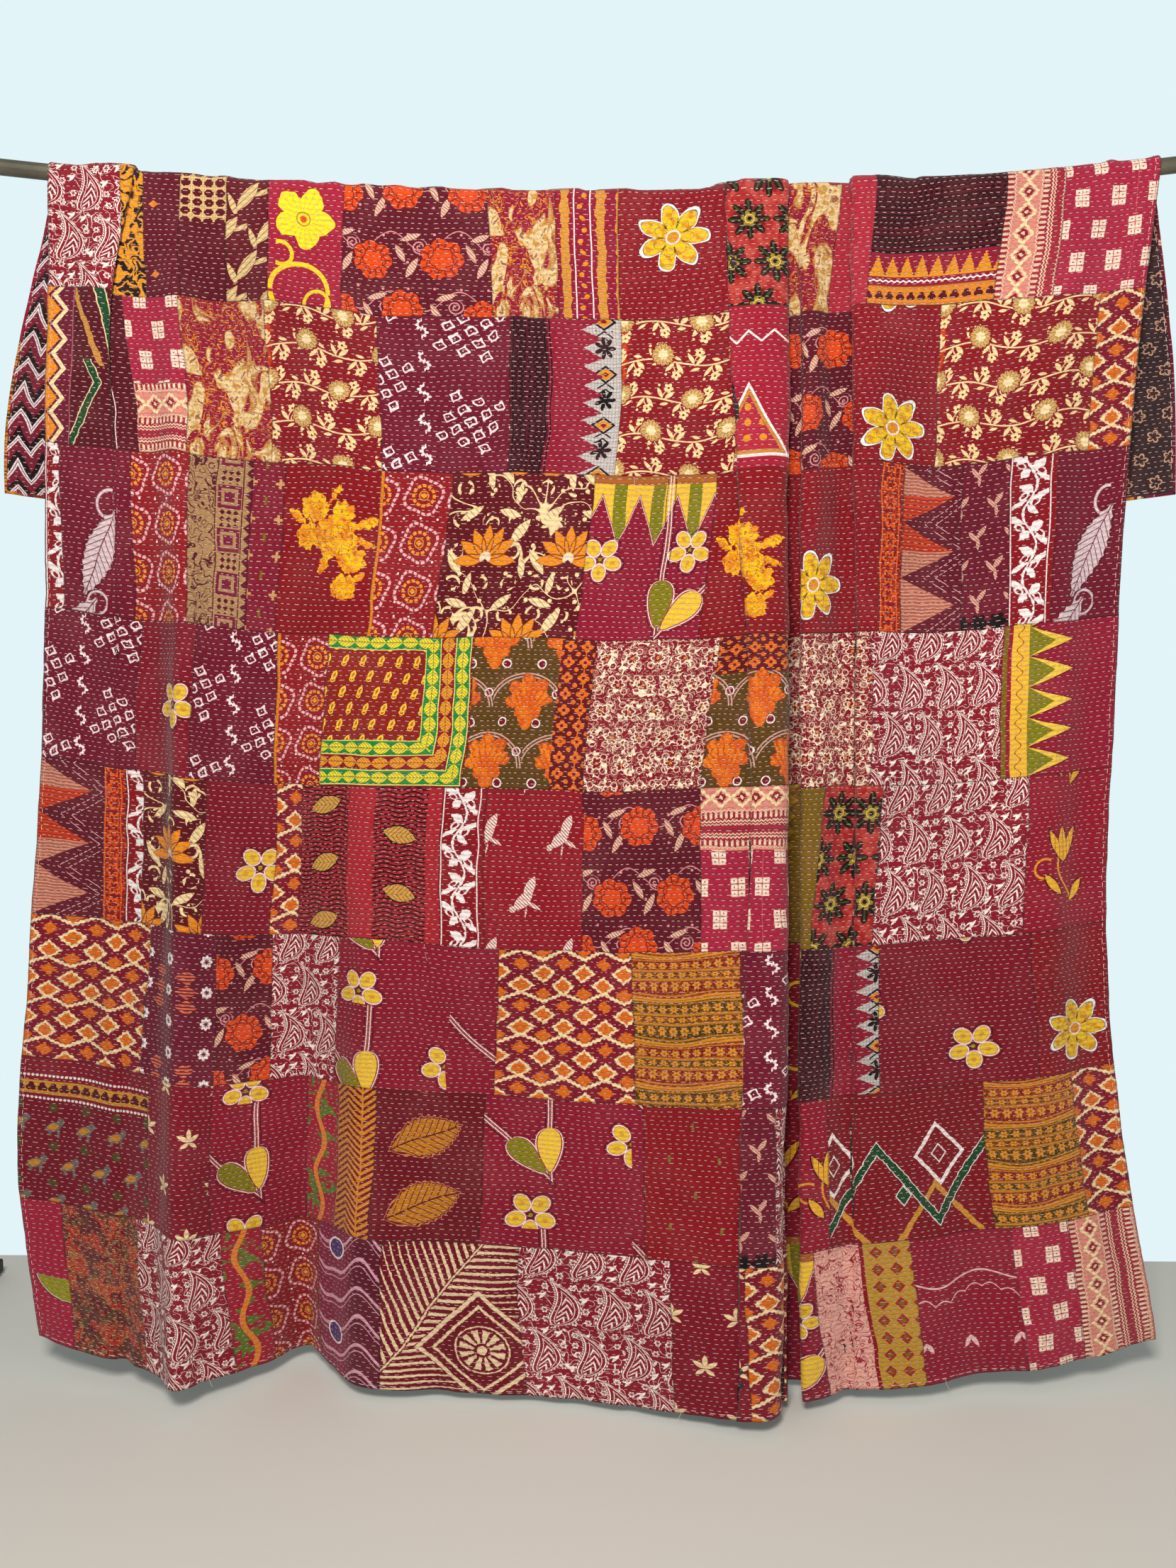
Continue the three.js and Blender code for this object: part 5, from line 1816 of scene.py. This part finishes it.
starts = [np.array([p[0] for p in row] + [QUILT_WIDTH * 100]) for row in PATCHES]
starts = [us[np.abs(us[None] * 100 - s[:, None]).argmin(1)] * 100 for s in starts]
mid_u = (us[:-1] + us[1:]) * 50
mid_v = (vs[:-1] + vs[1:]) * 50
fi = np.clip(np.arange(top_points.shape[0] - 1) - RIM, 0, len(us) - 2)
fj = np.clip(np.arange(top_points.shape[1] - 1) - RIM, 0, len(vs) - 2)
row_of = np.minimum((mid_v[fj] / (ROW * 100)).astype(int), ROWS - 1)
face = np.zeros((len(fi), len(fj)), int)
corner = {k: np.zeros((len(fi), len(fj))) for k in ("u0", "u1", "v0", "ox", "oy")}
for j, r in enumerate(row_of):
    k = np.searchsorted(starts[r], mid_u[fi], side="right") - 1
    face[:, j] = np.array([DESIGNS.index(p[1]) for p in PATCHES[r]])[k]
    corner["u0"][:, j], corner["u1"][:, j] = starts[r][k], starts[r][k + 1]
    corner["v0"][:, j] = r * ROW * 100
    corner["ox"][:, j] = np.array([p[2] if len(p) > 2 else 0 for p in PATCHES[r]])[k]
    corner["oy"][:, j] = np.array([p[3] if len(p) > 2 else 0 for p in PATCHES[r]])[k]


def add_uv(ob, name, per_loop):
    layer = ob.data.uv_layers.new(name=name)
    layer.data.foreach_set("uv", np.ascontiguousarray(per_loop, dtype=np.float32).reshape(-1))


loops = quads.reshape(-1)
lu, lv = flat_u.reshape(-1)[loops], flat_v.reshape(-1)[loops]
each = {k: np.repeat(c.reshape(-1), 4) for k, c in corner.items()}
height_v = lv - each["v0"]
add_uv(top, "cloth", np.stack([lu, lv], -1))
add_uv(top, "patch", np.stack([lu - each["u0"] - each["ox"], height_v - each["oy"]], -1))
near_u = np.minimum(lu - each["u0"], each["u1"] - lu)
near_v = np.minimum(height_v, ROW * 100 - height_v)
add_uv(top, "seam", np.stack([np.abs(near_u), np.abs(near_v)], -1))
nu, nv = top_points.shape[:2]
place = np.stack(np.meshgrid(np.arange(nu) / (nu - 1), np.arange(nv) / (nv - 1), indexing="ij"), -1)
add_uv(top, "OFBake", place.reshape(-1, 2)[loops])
for mat in CLOTHS:
    top.data.materials.append(mat)
top.data.polygons.foreach_set("material_index", face.reshape(-1).astype(np.int32))

skip_u = np.arange(0, COLUMNS + 1, 2)  # the backing needs only every second column
under = (MIDDLE - N * (LAYER / 2 * BACKING_DEPTH))[skip_u][::-1]
backing, quads = grid_mesh("backing_cloth", under)
bu, bv = np.meshgrid(us[skip_u][::-1] * 100, vs * 100, indexing="ij")
loops = quads.reshape(-1)
lu, lv = bu.reshape(-1)[loops], bv.reshape(-1)[loops]
add_uv(backing, "cloth", np.stack([lu, lv], -1))
edge = np.minimum(lu, QUILT_WIDTH * 100 - lu), np.minimum(lv, QUILT_LENGTH * 100 - lv)
add_uv(backing, "seam", np.stack([edge[0] + 0.3, edge[1] + 0.3], -1))
add_uv(backing, "OFBake", np.stack([1 - lu / (QUILT_WIDTH * 100), lv / (QUILT_LENGTH * 100)], -1))
backing.data.materials.append(BACKING_CLOTH)


# ------------------------------------------------------------------ running stitch along the edges
EDGE_INSET = 0.007
EDGE_STITCH = 0.0085
EDGE_PERIOD = 0.0145
THREAD_R = 0.0006
rng = np.random.default_rng(RNG_SEED)


def surface(u, v):
    """Middle of the finished cloth and its outward direction, between grid points."""
    a = np.interp(u, us, np.arange(len(us)))
    b = np.interp(v, vs, np.arange(len(vs)))
    i, j = np.minimum(a.astype(int), len(us) - 2), np.minimum(b.astype(int), len(vs) - 2)
    s, t = (a - i)[..., None], (b - j)[..., None]

    def mix(g):
        near = g[i, j] * (1 - s) + g[i + 1, j] * s
        far = g[i, j + 1] * (1 - s) + g[i + 1, j + 1] * s
        return near * (1 - t) + far * t

    return mix(MIDDLE), mix(N)


def thread_mesh(name, lines, r):
    """Thin four-sided threads through lines of points, as one mesh."""
    points, faces = [], []
    for line, normal in lines:
        along = np.gradient(line, axis=0)
        side = np.cross(along, normal)
        side /= np.maximum(np.linalg.norm(side, axis=-1, keepdims=True), 1e-9)
        ring = np.stack([line + normal * r, line + side * r, line - normal * r, line - side * r], 1)
        base, n = len(points), len(line)
        points.extend(ring.reshape(-1, 3))
        for k in range(n - 1):
            for q in range(4):
                a, b = base + 4 * k + q, base + 4 * k + (q + 1) % 4
                faces.append((a, a + 4, b + 4, b))
        last = base + 4 * (n - 1)
        faces.append((base, base + 1, base + 2, base + 3))
        faces.append((last + 3, last + 2, last + 1, last))
    mesh = bpy.data.meshes.new(name)
    mesh.from_pydata([tuple(p) for p in points], [], faces)
    mesh.update()
    mesh.polygons.foreach_set("use_smooth", np.ones(len(faces), bool))
    ob = bpy.data.objects.new(name, mesh)
    bpy.context.scene.collection.objects.link(ob)
    return ob


def edge_lines():
    lines = []
    bow = np.array([-0.35, 0.75, 1.05, 0.75, -0.35])
    for side in range(4):
        length_of = QUILT_LENGTH if side < 2 else QUILT_WIDTH
        for start in np.arange(0.012, length_of - 0.02, EDGE_PERIOD):
            first = start + rng.uniform(-0.0012, 0.0012)
            run = first + np.linspace(0, EDGE_STITCH * rng.uniform(0.85, 1.1), len(bow))
            inset = EDGE_INSET + rng.uniform(-0.001, 0.001)
            if side % 2:
                inset = (QUILT_WIDTH if side < 2 else QUILT_LENGTH) - inset
            inset = np.full(len(bow), inset)
            place, out = surface(*((inset, run) if side < 2 else (run, inset)))
            height = (LAYER / 2 + bow * THREAD_R)[:, None]
            for face_side in (1, -1):
                lines.append((place + out * face_side * height, out * face_side))
    return lines


edging = thread_mesh("edge_stitching", edge_lines(), THREAD_R)


def tail(u, v, length, lean):
    """A loose thread end that hangs from the cloth."""
    place, out = surface(np.array([u]), np.array([v]))
    t = np.linspace(0, 1, 9)[:, None]
    drop = np.array([0, 0, -1.0])
    across = np.array([1.0, 0, 0])
    line = place + out * (LAYER / 2 + 0.004 * t) + drop * length * t + across * lean * t * t
    return line, np.repeat(out, 9, 0)


tails = thread_mesh(
    "loose_threads",
    [tail(u, v, n, w) for u, v, n, w in (
        (0.352, 0.0035, 0.016, 0.004), (1.185, 0.004, 0.013, -0.004), (1.93, 0.004, 0.017, 0.005),
        (0.762, 0.822, 0.03, 0.006), (2.02, 1.371, 0.024, -0.005), (1.062, 1.646, 0.028, 0.004),
    )],
    0.0004,
)


def plain_material(name, colour, roughness, metallic=0.0):
    mat = bpy.data.materials.new(name)
    mat.use_nodes = True
    shader = mat.node_tree.nodes["Principled BSDF"]
    shader.inputs["Base Color"].default_value = (*colour, 1)
    shader.inputs["Roughness"].default_value = roughness
    shader.inputs["Metallic"].default_value = metallic
    return mat


THREAD_COTTON = plain_material("thread_cotton", THREAD, 0.8)
for ob in (edging, tails):
    ob.data.materials.append(THREAD_COTTON)

for ob in (top, backing, edging, tails):
    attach(ob, "quilt")
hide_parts("quilt_patchwork_top")
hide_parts("quilt_backing")


# ------------------------------------------------------------------ the rack's materials
def rack_material(name, colour, other, roughness, metallic, stretch, scale, bump_height):
    """A finish whose colour, roughness and surface vary along the part's own coordinates."""
    global TREE
    mat = bpy.data.materials.new(name)
    mat.use_nodes = True
    TREE = mat.node_tree
    shader = TREE.nodes["Principled BSDF"]
    where = make("ShaderNodeTexCoord")
    mapping = make("ShaderNodeMapping")
    mapping.inputs["Scale"].default_value = stretch
    TREE.links.new(where.outputs["Object"], mapping.inputs[0])
    fine = make("ShaderNodeTexNoise")
    TREE.links.new(mapping.outputs[0], fine.inputs["Vector"])
    fine.inputs["Scale"].default_value = scale
    fine.inputs["Detail"].default_value = 4.0
    wide = make("ShaderNodeTexNoise")
    TREE.links.new(where.outputs["Object"], wide.inputs["Vector"])
    wide.inputs["Scale"].default_value = 14.0
    wide.inputs["Detail"].default_value = 5.0
    mark, cloud = Num(fine.outputs[0]), Num(wide.outputs[0])
    feed(
        shader.inputs["Base Color"],
        paint(colour, (math_node("ADD", (cloud - 0.4) * 1.6, mark * 0.4 - 0.2, clamp=True), other)),
    )
    feed(shader.inputs["Roughness"], math_node("MULTIPLY_ADD", mark, 0.22, roughness - 0.11, clamp=True))
    shader.inputs["Metallic"].default_value = metallic
    bump = make("ShaderNodeBump")
    bump.inputs["Strength"].default_value = 0.6
    bump.inputs["Distance"].default_value = bump_height
    feed(bump.inputs["Height"], mark)
    TREE.links.new(bump.outputs[0], shader.inputs["Normal"])
    return mat


FINISHES = {
    "brushed_tube": rack_material(
        "pewter_tube", rgb(150, 142, 124), rgb(104, 96, 82),
        roughness=0.4, metallic=0.85, stretch=(0.35, 8, 8), scale=60.0, bump_height=0.00008,
    ),
    "dark_steel": rack_material(
        "powder_coat", rgb(48, 46, 44), rgb(60, 58, 54),
        roughness=0.55, metallic=0.0, stretch=(1, 1, 1), scale=900.0, bump_height=0.0002,
    ),
    "bolt_steel": rack_material(
        "zinc_plate", rgb(176, 174, 168), rgb(140, 134, 122),
        roughness=0.35, metallic=0.9, stretch=(1, 1, 1), scale=300.0, bump_height=0.00005,
    ),
    "black_plastic": rack_material(
        "moulded_plastic", rgb(34, 33, 32), rgb(44, 42, 40),
        roughness=0.5, metallic=0.0, stretch=(1, 1, 1), scale=700.0, bump_height=0.0001,
    ),
    "rubber_pad": rack_material(
        "rubber", rgb(28, 27, 26), rgb(42, 40, 38),
        roughness=0.85, metallic=0.0, stretch=(1, 1, 1), scale=500.0, bump_height=0.0002,
    ),
}
for ob in bpy.data.objects:
    if ob.type == "MESH":
        for holder in ob.material_slots:
            if holder.material and holder.material.name in FINISHES:
                holder.material = FINISHES[holder.material.name]

# ------------------------------------------------------------------ floor, light and camera
FLOOR_WIDTH, FLOOR_DEPTH, FLOOR_BACK = 7, 4.2, 0.45
bpy.ops.mesh.primitive_plane_add(size=1, location=(0, FLOOR_BACK - FLOOR_DEPTH / 2, 0))
ground = bpy.context.object
ground.scale = (FLOOR_WIDTH, FLOOR_DEPTH, 1)
ground.name = "floor"
ground.data.materials.append(plain_material("pale_floor", rgb(222, 216, 206, 1.0), 0.7))

AMBIENT = 0.38
world = bpy.data.worlds.new("pale_room")
world.use_nodes = True
world.node_tree.nodes["Background"].inputs["Color"].default_value = (*rgb(226, 244, 247, 1.0), 1)
TREE = world.node_tree
seen = make("ShaderNodeLightPath")
feed(
    TREE.nodes["Background"].inputs["Strength"],
    math_node("MULTIPLY_ADD", Num(seen.outputs[0]), 1 - AMBIENT, AMBIENT),
)
bpy.context.scene.world = world
bpy.context.scene.view_settings.view_transform = "Standard"


def area_light(name, at, look_at, size, power, colour):
    data = bpy.data.lights.new(name, "AREA")
    data.size = size
    data.energy = power
    data.color = colour
    ob = bpy.data.objects.new(name, data)
    bpy.context.scene.collection.objects.link(ob)
    ob.location = at
    ob.rotation_euler = (Vector(look_at) - Vector(at)).to_track_quat("-Z", "Y").to_euler()
    return ob


lamps = [
    area_light("key", (-0.35, -2.9, 3.1), (0.1, 0, 1.5), 0.9, 112, (1.0, 0.98, 0.95)),
    area_light("fill", (3.4, -2.4, 1.6), (0, 0, 1.1), 2.4, 12, (0.95, 0.97, 1.0)),
]
for name in ("Cube", "Light", "Camera"):
    if name in bpy.data.objects:
        bpy.data.objects.remove(bpy.data.objects[name])

CAMERA_HEIGHT = 1.27
CAMERA_DISTANCE = 2.33
FOCAL_PX = 1800
IMAGE_WIDTH, IMAGE_HEIGHT = 1659, 2212
PITCH = 4.16
MIDDLE_COLUMN = 852  # the photograph's column that looks straight ahead
CENTRE_OFFSET = MIDDLE_COLUMN - IMAGE_WIDTH / 2
data = bpy.data.cameras.new("camera")
data.sensor_width = 36
data.lens = FOCAL_PX / IMAGE_HEIGHT * 36
camera = bpy.data.objects.new("camera", data)
bpy.context.scene.collection.objects.link(camera)
camera.location = (0.004, -CAMERA_DISTANCE, CAMERA_HEIGHT)
camera.rotation_euler = (
    math.radians(90 - PITCH),
    0,
    math.atan(CENTRE_OFFSET / FOCAL_PX),
)
bpy.context.scene.camera = camera
